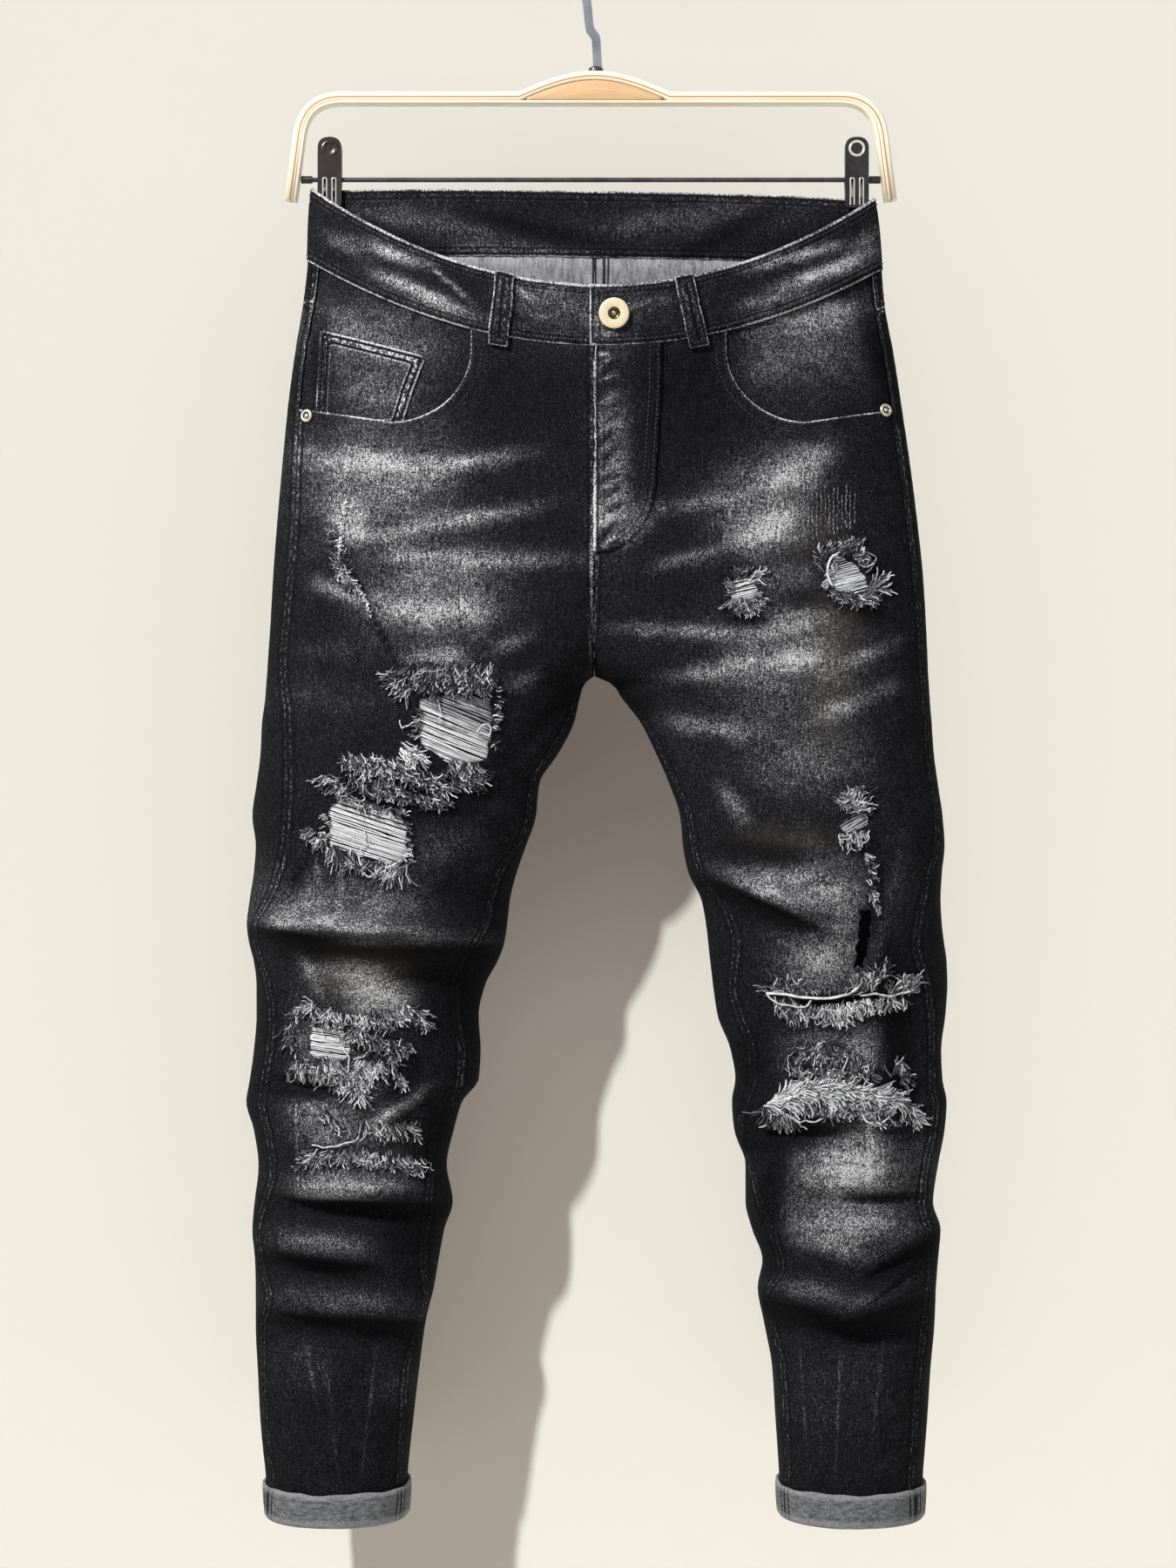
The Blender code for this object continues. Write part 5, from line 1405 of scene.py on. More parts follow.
# Tufts grow from a root line and point the way of their aim, in degrees: 0 points to the right,
# 90 down and -90 up. Band is how far roots stray from the line, tone runs from black 0 to white 1.
TUFT_COLUMNS = ("x0", "down0", "x1", "down1", "band", "tufts", "length", "aim", "spread", "tone")
TUFTS = {
    "left": (
        (-193, 250, -188, 276, 3, 14, 7, 150, 60, 0.4), (-188, 276, -178, 290, 3, 14, 7, 80, 60, 0.38),
        (-150, 349, -112, 348, 3, 36, 14, 106, 20, 0.38), (-112, 348, -75, 348, 3, 36, 14, 110, 20, 0.38),
        (-130, 358, -76, 358, 3, 40, 12, 104, 20, 0.36), (-150, 350, -138, 366, 3, 20, 12, 135, 14, 0.52),
        (-74, 362, -78, 410, 1, 14, 4, 10, 40, 0.5), (-131, 380, -132, 404, 1, 9, 5, 175, 40, 0.55),
        (-110, 420, -86, 420, 3, 26, 13, 80, 28, 0.45), (-106, 430, -88, 430, 4, 18, 11, 30, 30, 0.4),
        (-140, 428, -112, 436, 5, 34, 12, 40, 30, 0.42), (-150, 440, -112, 446, 3, 26, 9, 60, 30, 0.4),
        (-146, 408, -130, 414, 4, 14, 11, 40, 35, 0.85), (-156, 418, -142, 446, 4, 16, 9, 80, 50, 0.35),
        (-186, 414, -156, 418, 4, 34, 12, 82, 40, 0.52), (-184, 428, -150, 436, 4, 34, 12, 78, 40, 0.44),
        (-160, 416, -136, 424, 4, 26, 12, 66, 30, 0.42), (-203, 430, -188, 436, 5, 16, 8, 120, 60, 0.52),
        (-196, 441, -142, 456, 2, 20, 7, 60, 50, 0.5), (-141, 462, -141, 490, 1, 10, 4, 5, 40, 0.6),
        (-200, 456, -200, 478, 1, 9, 4, 180, 40, 0.7), (-213, 466, -201, 480, 3, 14, 8, 120, 50, 0.55),
        (-198, 481, -176, 487, 2, 18, 14, 90, 24, 0.48), (-174, 489, -156, 493, 2, 12, 10, 100, 30, 0.5),
        (-157, 494, -141, 493, 2, 18, 15, 115, 22, 0.62), (-222, 600, -208, 594, 2, 14, 9, 130, 50, 0.62),
        (-210, 598, -184, 606, 3, 16, 9, 100, 45, 0.66), (-184, 604, -158, 606, 3, 20, 10, 85, 40, 0.62),
        (-158, 604, -138, 598, 3, 20, 11, 60, 40, 0.55), (-138, 600, -127, 606, 3, 14, 10, 60, 50, 0.5),
        (-182, 614, -174, 618, 3, 18, 10, 84, 30, 0.56), (-170, 622, -148, 624, 3, 20, 10, 70, 60, 0.46),
        (-208, 608, -186, 610, 2, 12, 6, 88, 30, 0.62), (-228, 612, -222, 650, 4, 24, 7, 95, 30, 0.36),
        (-222, 636, -204, 644, 3, 16, 11, 85, 24, 0.55), (-204, 636, -188, 642, 3, 18, 15, 75, 22, 0.66),
        (-196, 646, -176, 650, 4, 20, 17, 86, 18, 0.7), (-184, 640, -160, 640, 3, 20, 17, 108, 22, 0.7),
        (-176, 652, -168, 650, 3, 12, 18, 105, 14, 0.6), (-160, 640, -140, 622, 3, 16, 9, 60, 50, 0.5),
        (-154, 640, -146, 652, 3, 9, 10, 70, 60, 0.55), (-206, 674, -188, 688, 4, 20, 8, 80, 50, 0.5),
        (-176, 684, -130, 684, 3, 28, 12, 80, 32, 0.58), (-212, 706, -186, 704, 3, 20, 11, 105, 40, 0.52),
        (-186, 704, -152, 708, 3, 26, 11, 85, 40, 0.56), (-152, 708, -128, 712, 3, 18, 10, 70, 40, 0.56),
        (-221, 714, -208, 708, 2, 10, 8, 140, 40, 0.5),
    ),
    "right": (
        (102, 282, 113, 280, 1.5, 9, 8, -85, 40, 0.35), (112, 282, 116, 284, 1.5, 8, 10, -30, 16, 0.62),
        (97, 299, 116, 302, 2, 28, 10, 92, 50, 0.46), (116, 292, 118, 300, 1, 7, 6, 45, 40, 0.55),
        (98, 285, 97, 298, 1, 7, 4, 190, 40, 0.7), (164, 266, 190, 263, 3, 46, 9, -90, 50, 0.34),
        (163, 268, 168, 278, 2, 14, 6, 180, 50, 0.36), (176, 266, 168, 288, 1, 16, 4, 160, 60, 0.95),
        (188, 266, 197, 274, 2, 14, 7, -10, 50, 0.6), (197, 290, 200, 294, 1.5, 10, 16, -33, 9, 0.62),
        (184, 296, 198, 297, 2, 20, 11, 28, 26, 0.5), (170, 291, 188, 297, 2, 30, 8, 70, 50, 0.3),
        (178, 452, 196, 448, 2, 22, 13, -100, 40, 0.66), (184, 456, 196, 452, 2, 10, 8, -30, 50, 0.6),
        (176, 471, 198, 470, 2, 16, 11, 105, 45, 0.66), (196, 484, 201, 512, 1, 16, 5, 20, 40, 0.48),
        (199, 512, 203, 526, 1, 8, 6, 50, 40, 0.6), (127, 588, 155, 590, 2, 24, 13, -95, 35, 0.48),
        (150, 588, 186, 588, 1, 14, 4, -90, 30, 0.45), (186, 586, 202, 584, 3, 18, 13, -95, 45, 0.52),
        (202, 580, 214, 572, 3, 14, 11, -85, 45, 0.45), (214, 590, 232, 584, 3, 22, 11, -80, 60, 0.6),
        (130, 593, 150, 598, 3, 24, 13, 80, 30, 0.52), (150, 598, 168, 600, 3, 18, 10, 85, 35, 0.5),
        (166, 598, 184, 600, 3, 26, 12, 95, 30, 0.8), (182, 598, 200, 592, 3, 24, 10, 80, 40, 0.8),
        (204, 592, 224, 592, 2, 14, 9, 85, 40, 0.62), (148, 626, 172, 624, 4, 22, 11, 115, 26, 0.48),
        (146, 632, 200, 640, 7, 54, 10, 100, 60, 0.42), (172, 622, 200, 646, 5, 18, 8, 70, 60, 0.42),
        (220, 636, 226, 652, 3, 18, 8, 90, 70, 0.48), (138, 650, 176, 650, 2, 18, 7, -80, 40, 0.7),
        (124, 671, 144, 657, 3, 40, 18, -12, 12, 0.94), (138, 659, 178, 657, 4, 62, 19, 2, 10, 0.94),
        (176, 658, 210, 664, 3, 42, 17, 14, 12, 0.86), (136, 668, 216, 666, 3, 64, 11, 90, 34, 0.46),
        (122, 672, 144, 678, 2, 26, 11, 85, 40, 0.44), (168, 668, 190, 667, 2, 22, 12, 97, 14, 0.66),
        (192, 680, 214, 678, 2, 18, 13, -52, 16, 0.66), (222, 668, 232, 676, 2, 20, 13, 45, 22, 0.6),
        (200, 680, 224, 680, 2, 12, 6, 80, 40, 0.55),
    ),
}

# Single long ends, each through its own points: radius, tone, and x and down of the points.
ENDS = {
    "left": (
        (0.55, 0.95, ((-176, 486), (-174, 496), (-169, 502), (-163, 501), (-155, 496), (-145, 490))),
        (0.55, 0.9, ((-145, 413), (-136, 419), (-133, 427), (-130, 431), (-122, 430))),
        (0.5, 0.85, ((-146, 387), (-144, 393), (-138, 390), (-131, 387))),
        (0.45, 0.8, ((-119, 371), (-116, 380), (-117, 387), (-108, 391), (-98, 394))),
        (0.45, 0.95, ((-90, 396), (-84, 390), (-79, 393), (-81, 398), (-88, 396))),
        (0.45, 0.85, ((-172, 468), (-171, 476), (-175, 484), (-176, 488))),
        (0.55, 0.9, ((-210, 699), (-200, 701), (-186, 698), (-175, 694))),
        (0.5, 0.95, ((-188, 627), (-183, 636), (-184, 645), (-187, 650))),
        (0.45, 0.85, ((-180, 636), (-173, 634), (-168, 628), (-169, 622))),
    ),
    "right": (
        (0.8, 1.0, ((177, 264), (172, 267), (168, 274), (168, 281), (172, 288))),
        (0.55, 0.6, ((191, 272), (196, 264), (203, 268), (201, 274), (196, 279))),
        (0.95, 0.95, ((123.5, 588), (136, 588), (151, 591), (168, 591), (183, 588), (192, 581), (194, 576))),
        (0.7, 0.85, ((123.5, 588), (130, 594), (142, 597), (151, 598), (156, 593))),
        (0.8, 0.85, ((192, 589), (204, 588), (211, 590), (221, 588), (232, 585))),
        (0.6, 0.9, ((122, 670), (131, 672), (140, 678), (149, 681), (159, 681), (170, 678))),
        (0.6, 0.95, ((191, 672), (196, 681), (203, 684), (211, 681), (217, 672), (225, 660))),
        (0.6, 0.9, ((184, 671), (190, 667), (198, 665), (208, 667), (219, 672))),
        (0.5, 0.85, ((214, 664), (222, 668), (227, 676), (232, 685))),
        (0.5, 0.75, ((160, 628), (156, 634), (150, 637), (147, 645))),
        (0.45, 0.8, ((176, 646), (182, 650), (192, 649), (199, 654))),
    ),
}


def all_fronts():
    points, faces = [], []
    for more_points, more_faces in WHOLE_FRONTS:
        faces += [[number + len(points) for number in face] for face in more_faces]
        points += more_points
    return BVHTree.FromPolygons(points, faces)


FRONT_TREE = all_fronts()


def laid(x, down, out, tree=FRONT_TREE):
    """Points in mm where the sighted places lie on the fronts, each out mm off the cloth."""
    places = np.stack(np.broadcast_arrays(x, down, out), -1).reshape(-1, 3)
    found = np.zeros_like(places)
    last = np.zeros(3)
    for number, (at, below, off) in enumerate(places):
        target = np.array((at, SIGHT_PLANE, -HOOK_TO_RIM - below))
        way = Vector(target - EYE).normalized()
        hit, normal, _, _ = tree.ray_cast(Vector(EYE * MM), way)
        if hit is not None:
            normal = normal if normal.dot(way) < 0 else -normal
            last = np.array(hit) / MM + np.array(normal) * off
            found[number] = last
        else:
            found[number] = target + (0, last[1] - SIGHT_PLANE, 0)
    return found.reshape(*np.shape(x), 3)


def joined(name, meshes):
    """One mesh from several, with their tones."""
    work = bmesh.new()
    for mesh in meshes:
        work.from_mesh(mesh)
    whole = bpy.data.meshes.new(name)
    work.to_mesh(whole)
    work.free()
    return whole


def yarn_material():
    made, wire, shader = new_material("cut_yarn", Roughness=0.9, Sheen_Weight=0.15)
    shader.inputs["Specular IOR Level"].default_value = 0.15
    tone = wire.layer("tone")
    place = wire.place()
    grain = place.noise(900.0, 2.0)
    stops = [
        (0.0, (0.008, 0.008, 0.01, 1)),
        (0.3, (0.035, 0.035, 0.042, 1)),
        (0.6, (0.2, 0.2, 0.225, 1)),
        (0.8, (0.48, 0.48, 0.5, 1)),
        (1.0, (0.8, 0.81, 0.83, 1)),
    ]
    ramp = wire.node("ShaderNodeValToRGB", {"stops": stops}, {0: tone + (grain - 0.5) * 0.35})
    ramp.feed(shader, "Base Color")
    return made


YARN = yarn_material()


def strand_mesh(name, strands, radii, tones, sides=4):
    """Tubes laid on the fronts, from the x, down and out of the points of each strand."""
    paths = laid(*np.moveaxis(np.array(strands), 1, 0))
    return tubes(name, paths, np.array(radii), np.array(tones), sides)


def tufts(leg):
    """Strands of every tuft of a leg, as one mesh of thin curly tubes."""
    steps = np.linspace(0, 1, 8)
    strands, radii, tones = [], [], []
    for row in named(TUFTS[leg], TUFT_COLUMNS):
        start, end = np.array((row["x0"], row["down0"])), np.array((row["x1"], row["down1"]))
        for _ in range(row["tufts"] * 4 // 3):
            share = rng.random()
            root_x, root_down = start + (end - start) * share + rng.normal(0, row["band"] * 0.5, 2)
            aim = row["aim"] + rng.normal(0, row["spread"] * 0.55)
            curl = rng.normal(0, 0.3)
            for _ in range(3):
                way = math.radians(aim + rng.normal(0, 7))
                length = row["length"] * rng.uniform(0.55, 1.15)
                waves = length / rng.uniform(4.0, 8.0) * 2 * math.pi
                bend = (curl + rng.normal(0, 0.14)) * length * steps**2
                swing = rng.uniform(0.25, 1.0)
                bend = bend + swing * np.sin(steps * waves + rng.uniform(0, 6)) * (0.3 + 0.7 * steps)
                reach = length * steps * (1 - 0.25 * steps * abs(curl))
                x = root_x + rng.normal(0, 1.1) + reach * math.cos(way) - bend * math.sin(way)
                down = root_down + rng.normal(0, 1.1) + reach * math.sin(way) + bend * math.cos(way)
                out = 0.3 + rng.uniform(0.6, 3.6) * steps**1.5
                out = out + 0.5 * np.sin(steps * waves + rng.uniform(0, 6)) * steps
                strands.append((x, down, out))
                radii.append(rng.uniform(0.4, 0.74) * (1.05 - 0.25 * steps))
                tones.append(np.clip(rng.normal(row["tone"] - 0.04, 0.32) + 0.2 * (steps - 0.5), 0, 1))
    return strand_mesh(f"tufts_{leg}", strands, radii, tones, 3)


def long_ends(leg):
    steps = np.linspace(0, 1, 22)
    strands, radii, tones = [], [], []
    for radius, tone, places in ENDS[leg]:
        places = np.array(places, float)
        at = np.linspace(0, 1, len(places))
        x, down = (smooth(at, places[:, i], steps) for i in range(2))
        x = x + 0.3 * np.sin(steps * 19 + radius * 30)
        down = down + 0.3 * np.sin(steps * 23 + tone * 30)
        strands.append((x, down, 1.0 + 0.9 * np.sin(steps * math.pi)))
        radii.append(radius * (1 + 0.12 * np.sin(steps * 60)))
        tones.append(np.clip(tone + 0.1 * np.sin(steps * 37), 0, 1))
    return strand_mesh(f"ends_{leg}", strands, radii, tones, 6)


def frayed_track():
    """The short white ends along the thin tear of the left hip."""
    track = np.array(FRAYED_TRACK, float)
    at = np.linspace(0, 1, len(track))
    steps = np.linspace(0, 1, 4)
    strands, radii, tones = [], [], []
    for _ in range(230):
        share = rng.random()
        root = [float(smooth(at, track[:, i], np.array([share]))[0]) for i in range(2)]
        way = rng.uniform(0, 2 * math.pi)
        ragged = 0.45 < share < 0.8
        length = rng.uniform(1.5, 4.0) * (1.3 if ragged else 0.75)
        x = root[0] + rng.normal(0, 0.7) + length * steps * math.cos(way)
        down = root[1] + rng.normal(0, 0.7) + length * steps * math.sin(way)
        strands.append((x, down, 0.5 + rng.uniform(0.3, 1.6) * steps))
        radii.append(rng.uniform(0.4, 0.62) * (1.1 - 0.4 * steps))
        tones.append(np.clip(rng.normal(0.6 if ragged else 0.88, 0.16) + 0 * steps, 0, 1))
    return strand_mesh("frayed_track", strands, radii, tones)


def darning():
    """Rows of grey darning stitches over the thin place of the right hip."""
    steps = np.linspace(0, 1, 4)
    strands, tones = [], []
    for row, x0 in enumerate(np.arange(151.0, 191.0, DARN_ROW)):
        first = 204 if row == 0 else 218 + 4 * math.sin(2.3 * row)
        last = 252 - 9 * (row / 13) ** 2 + 2 * math.sin(4.1 * row)
        for down0 in np.arange(first, last, DARN_STITCH):
            x = x0 + rng.normal(0, 0.25) + rng.normal(0, 0.3) * steps
            strands.append((x, down0 + 2.3 * steps, 0.55 * np.sin(steps * math.pi) - 0.1))
            tones.append(np.full(4, rng.uniform(0.3, 0.66 if row else 0.9)))
    return strand_mesh("darning", strands, np.full(np.shape(tones), 0.42), tones)


def weft(leg):
    """The white yarns across every tear of a leg, tucked under the cloth at both ends."""
    steps = np.linspace(0, 1, 12)
    strands, radii, tones = [], [], []
    for name, (outline, lean, spacing, top_tone_and_shade, tone) in TEARS.items():
        if not name.endswith(leg) or not spacing:
            continue
        corners = np.array(outline, float)
        angle = math.radians(lean)
        along = np.array((math.cos(angle), math.sin(angle)))
        across = np.array((-along[1], along[0]))
        reach, span = corners @ along, corners @ across
        for layer, shift in enumerate((0.0, 0.5)):
            for level in np.arange(span.min() - 1, span.max() + 1, spacing):
                level += spacing * shift + rng.normal(0, spacing * 0.18)
                t = np.arange(reach.min() - 4, reach.max() + 4, 0.5)
                line = t[:, None] * along + level * across
                inside = t[outline_distance(outline, line[:, 0], line[:, 1]) < 0.4]
                if len(inside) < 4 or rng.random() < (0.12, 0.55)[layer]:
                    continue
                t = np.linspace(inside[0] - 3, inside[-1] + 3, len(steps))
                wobble = rng.normal(0, 0.3) * np.sin(steps * math.pi * rng.choice((1, 2)))
                wobble = wobble + rng.normal(0, 0.12, len(t))
                line = t[:, None] * along + (level + wobble)[:, None] * across
                slack = np.sin(steps * math.pi) ** 0.5
                out = -2.4 - 0.5 * layer + (1.7 + rng.normal(0, 0.3)) * slack
                strands.append((line[:, 0], line[:, 1], out))
                radii.append(spacing * rng.uniform(0.32, 0.48) * np.ones(len(steps)))
                # Painted shade, in part: the top tone darkens the yarns under the cloth above the tear.
                height = (level - span.min()) / (span.max() - span.min())
                bright = top_tone_and_shade + (tone - top_tone_and_shade) * min(1.0, max(0.0, height * 1.6))
                bright = bright + rng.normal(0, 0.1) + rng.normal(0, 0.07, len(t))
                # The deeper layer is painted darker, as shade behind the front yarns.
                tones.append(np.clip(bright - 0.3 * layer, 0, 1))
    return strand_mesh(f"weft_{leg}", strands, radii, tones)


def yarns(leg):
    meshes = [weft(leg), tufts(leg), long_ends(leg)]
    meshes.append(frayed_track() if leg == "left" else darning())
    mesh = joined(f"torn_yarns_{leg}", meshes)
    return add_piece(f"torn_yarns_{leg}", mesh, (YARN,))


YARNS = {leg: yarns(leg) for leg in LEGS}

# ---- The button and the rivets ----
# A cream-enamelled brass shank button with a hollow eye, sewn through by one pin, and two small
# pale brass rivets that hold the pocket corners.

BUTTON = {"x": 11.0, "down": 25.0, "radius": 11.0, "height": 4.2}
BUTTONHOLE_ENDS = ((22.0, 89.5), (44.4, 78.4))
RIVET = {"radius": 4.8, "height": 1.8, "left": 162.5, "right": 155.0, "in": 6.5}

ENAMEL = hard_finish(
    "cream_enamel", (0.76, 0.64, 0.46), (0.7, 0.56, 0.38), 0.42, Coat_Weight=0.3, Coat_Roughness=0.25
)
BRASS = hard_finish("pale_brass", (0.86, 0.83, 0.76), (0.68, 0.63, 0.53), 0.32, Metallic=0.7)
EYELET = hard_finish("dark_eyelet", (0.1, 0.065, 0.035), (0.16, 0.11, 0.06), 0.35, Metallic=0.9)
BRONZE_PIN = hard_finish("bronze_pin", (0.62, 0.5, 0.34), (0.4, 0.3, 0.18), 0.3, Metallic=0.9)


def ring_faces(grid):
    """The faces between the closed rows of a grid, and the grid's own numbers."""
    rows, cols = grid.shape[:2]
    number = np.arange(rows * cols).reshape(rows, cols)
    ahead = np.roll(number, -1, axis=1)
    return np.stack([number[:-1], number[1:], ahead[1:], ahead[:-1]], -1), number


def turned(name, profile, steps=48):
    """A mesh of a profile of (radius, height) in mm, turned about Z."""
    profile = np.array(profile, float)
    turns = np.arange(steps) / steps * 2 * math.pi
    ring = np.stack([np.cos(turns), np.sin(turns), np.ones(steps)], -1)
    points = profile[:, None, [0, 0, 1]] * ring
    mesh = new_mesh(name, points, ring_faces(points)[0])
    with edited(mesh) as work:
        bmesh.ops.remove_doubles(work, verts=work.verts, dist=1e-6)
        bmesh.ops.recalc_face_normals(work, faces=work.faces)
    return mesh


def seated(mesh, leg, x, down, out):
    """Turns the mesh's Z to stand on the front at this x and level, out mm off it."""
    downs = np.array([down - 2.0, down, down + 2.0])
    angles = np.stack([column(leg, x + shift, downs) for shift in (-2, 0, 2)], -1)
    points = surface(leg, angles, downs[:, None])
    normal = np.cross(points[1, 2] - points[1, 0], points[2, 1] - points[0, 1])
    normal *= -np.sign(normal[1])
    turn = Vector(normal).to_track_quat("Z", "Y").to_matrix().to_4x4()
    mesh.transform(turn)
    place = points[1, 1] + normal / np.linalg.norm(normal) * out
    for vert in mesh.vertices:
        vert.co += Vector(place) * MM


# Profiles of the button's parts and of a rivet, as shares of the radius and the height.
BUTTON_PARTS = (
    (
        "button_disc",
        ENAMEL,
        (
            (0, 0), (0.8, 0), (0.97, 0.35), (1, 0.62), (0.965, 0.8), (0.9, 0.86), (0.6, 0.82), (0.42, 0.78),
            (0.37, 0.7), (0.36, 0.4),
        ),
    ),
    ("button_eye", EYELET, ((0.36, 0.72), (0.34, 0.5), (0.2, 0.42), (0, 0.42))),
    ("button_pin", BRONZE_PIN, ((0.17, 0.4), (0.16, 0.6), (0.1, 0.72), (0, 0.76))),
    ("button_rim", EYELET, ((0.4, 0.78), (0.385, 0.84), (0.345, 0.8), (0.33, 0.6))),
)
RIVET_PROFILE = (
    (0, 0), (0.95, 0), (1, 0.3), (0.93, 0.8), (0.75, 1), (0.58, 0.8), (0.55, 0.3), (0.3, 0.25), (0.3, 0.6),
    (0.2, 0.85), (0, 0.9),
)


def button():
    for name, finish, profile in BUTTON_PARTS:
        mesh = turned(name, np.array(profile) * (BUTTON["radius"], BUTTON["height"]))
        seated(mesh, "right", BUTTON["x"], BUTTON["down"], BAND_OUT + GAP)
        add_piece(name, mesh, (finish,), ("button",))


def rivet(leg):
    edge = float(leg_value(leg, "side_seam", np.array([RIVET[leg]]))[0])
    mesh = turned(f"{leg}_rivet", np.array(RIVET_PROFILE) * (RIVET["radius"], RIVET["height"]), 28)
    for face in mesh.polygons:
        share = face.center.xy.length / MM / RIVET["radius"]
        face.material_index = int(0.26 < share < 0.6)
    seated(mesh, leg, edge - SIDE_OF_LEG[leg] * RIVET["in"], RIVET[leg], GAP)
    add_piece(f"{leg}_rivet", mesh, (BRASS, EYELET), (f"rivet_{leg}",))


def buttonhole():
    """The slit the button goes through, with close stitches all round it."""
    tree = tree_of(WAISTBAND)
    start, end = np.array(BUTTONHOLE_ENDS)
    way = unit(end - start)
    aside = np.array((-way[1], way[0]))
    at = np.linspace(0, 1, 34)[:, None, None]
    across = np.linspace(-1.7, 1.7, 5)[None, :, None]
    places = start + (end - start) * at + aside * across
    out = np.broadcast_to(np.array((0.0, 0.45, 0.05, 0.45, 0.0)), places.shape[:2])
    paths = laid(places[..., 0], places[..., 1], out, tree)
    radii = np.broadcast_to(np.array((0.25, 0.34, 0.1, 0.34, 0.25)), out.shape)
    return tubes("buttonhole", paths, radii, np.zeros(out.shape))


add_piece("buttonhole", buttonhole(), (THREAD,))
button()
for leg in LEGS:
    rivet(leg)

# ---- The hanger ----
# Beech strips steam-bent and glued into one bow, over a wedge at its crown. A flat steel hook
# stands on a ferrule, and a black rail between the ends carries two sprung steel clips.

FRAME = {
    "left": -227.0, "right": 215.7, "foot": -210.0, "top": -130.3, "thick": 9.0,
    "lean": 10.0, "corner": 28.0, "depth": 12.0,
}
ARCH = {"middle": -3.0, "half": 55.5, "rise": 15.3, "base": -137.0, "layer": 6.6}
CLIP = {
    "left": -198.4, "right": 190.7, "front": -3.0, "plate": 1.2, "foot": -214.0, "slot_top": -193.0,
    "thumb": -172.2, "prong_apart": 3.4, "prong_bend": 1.4,
}


def wood(name, light, dark, glue):
    """Pale wood with its grain along u, in metres, and a thin glue line where v is glue."""
    made, wire, shader = new_material(name, Roughness=0.42, Coat_Weight=0.25, Coat_Roughness=0.3)
    place = wire.place("UV")
    drawn = place.stretched((14.0, 900.0, 1.0))
    grain = drawn.noise(1.0, 4.0, 0.6)
    ray = place.stretched((240.0, 2600.0, 1.0))
    fleck = ray.noise(1.0, 2.0)
    shade = (grain * 0.75 + fleck * 0.25).between(0.36, 0.68)
    colour = shade.blend((*dark, 1), (*light, 1))
    across = wire.node("ShaderNodeSeparateXYZ", None, {0: place}, out=1)
    if glue:
        off = wire.math("ABSOLUTE", across - glue) - 0.0004 * (0.6 + grain)
        line = 1 - off.between(0.0, 0.0004)
        colour = (line * 0.95).blend(colour, (0.55, 0.24, 0.08, 1))
    colour.feed(shader, "Base Color")
    grain.emboss(shader, 0.12, 0.0004)
    return made


BEECH = wood("pale_beech", (0.97, 0.92, 0.76), (0.92, 0.8, 0.58), 0.0041)
CORE = wood("beech_end_grain", (0.74, 0.48, 0.27), (0.6, 0.36, 0.19), 0)


def rounded(corners, radius, steps=14):
    """The polyline with each inner corner made round."""
    path = [Vector(corners[0])]
    for before, here, after in zip(corners, corners[1:], corners[2:]):
        here = Vector(here)
        back, on = (Vector(before) - here), (Vector(after) - here)
        reach = min(radius, back.length * 0.48, on.length * 0.48)
        start, end = here + back.normalized() * reach, here + on.normalized() * reach
        for i in range(steps + 1):
            t = i / steps
            path.append(start * (1 - t) ** 2 + here * 2 * t * (1 - t) + end * t**2)
    return path + [Vector(corners[-1])]


def beside(path, distance):
    """The path moved to its left by this distance."""
    moved = []
    for i, point in enumerate(path):
        way = (path[min(i + 1, len(path) - 1)] - path[max(i - 1, 0)]).normalized()
        moved.append(point + Vector((-way.y, way.x)) * distance)
    return moved


def arch_rise(x, rise):
    share = (x - ARCH["middle"]) / ARCH["half"]
    return rise * math.cos(math.pi / 2 * share) if abs(share) < 1 else 0.0


def bar(name, upper, lower, finish, nodes, depth):
    """A bar between two lines in x and z, as deep as depth in y, with rounded edges."""
    upper, lower = np.array(upper, float), np.array(lower, float)
    half, soft = depth / 2, 1.3
    thick = np.linalg.norm(upper - lower, axis=1)
    ease = np.minimum(soft, thick * 0.45) / np.maximum(thick, 1e-6)
    across = {0: 0 * ease, 1: 0.3 * ease, 2: ease, -2: 1 - ease, -1: 1 - 0.3 * ease, -3: 1 + 0 * ease}
    start, eased = half - soft, half - soft * 0.3
    order = [(0, -start), (0, start), (1, eased), (2, half), (-2, half), (-1, eased)]
    order += [(-3, start), (-3, -start), (-1, -eased), (-2, -half), (2, -half), (1, -eased)]
    points, shares = [], []
    for key, y in order:
        share = across[key][:, None]
        flat = upper * (1 - share) + lower * share
        points.append(np.stack([flat[:, 0], np.full(len(flat), y), flat[:, 1]], -1))
        shares.append(across[key] * thick)
    grid, shares = np.stack(points, 1), np.stack(shares, 1)
    faces, number = ring_faces(grid)
    mesh = new_mesh(name, grid, faces, (number[0].tolist(), number[-1][::-1].tolist()))
    along = lengths_along(upper, 0)
    places = np.stack([np.broadcast_to(along[:, None], shares.shape), shares], -1).reshape(-1, 2) * MM
    layer = mesh.uv_layers.new(name="UVMap").data
    for loop in mesh.loops:
        layer[loop.index].uv = places[loop.vertex_index]
    with edited(mesh) as work:
        bmesh.ops.recalc_face_normals(work, faces=work.faces)
    add_piece(name, mesh, (finish,), nodes)


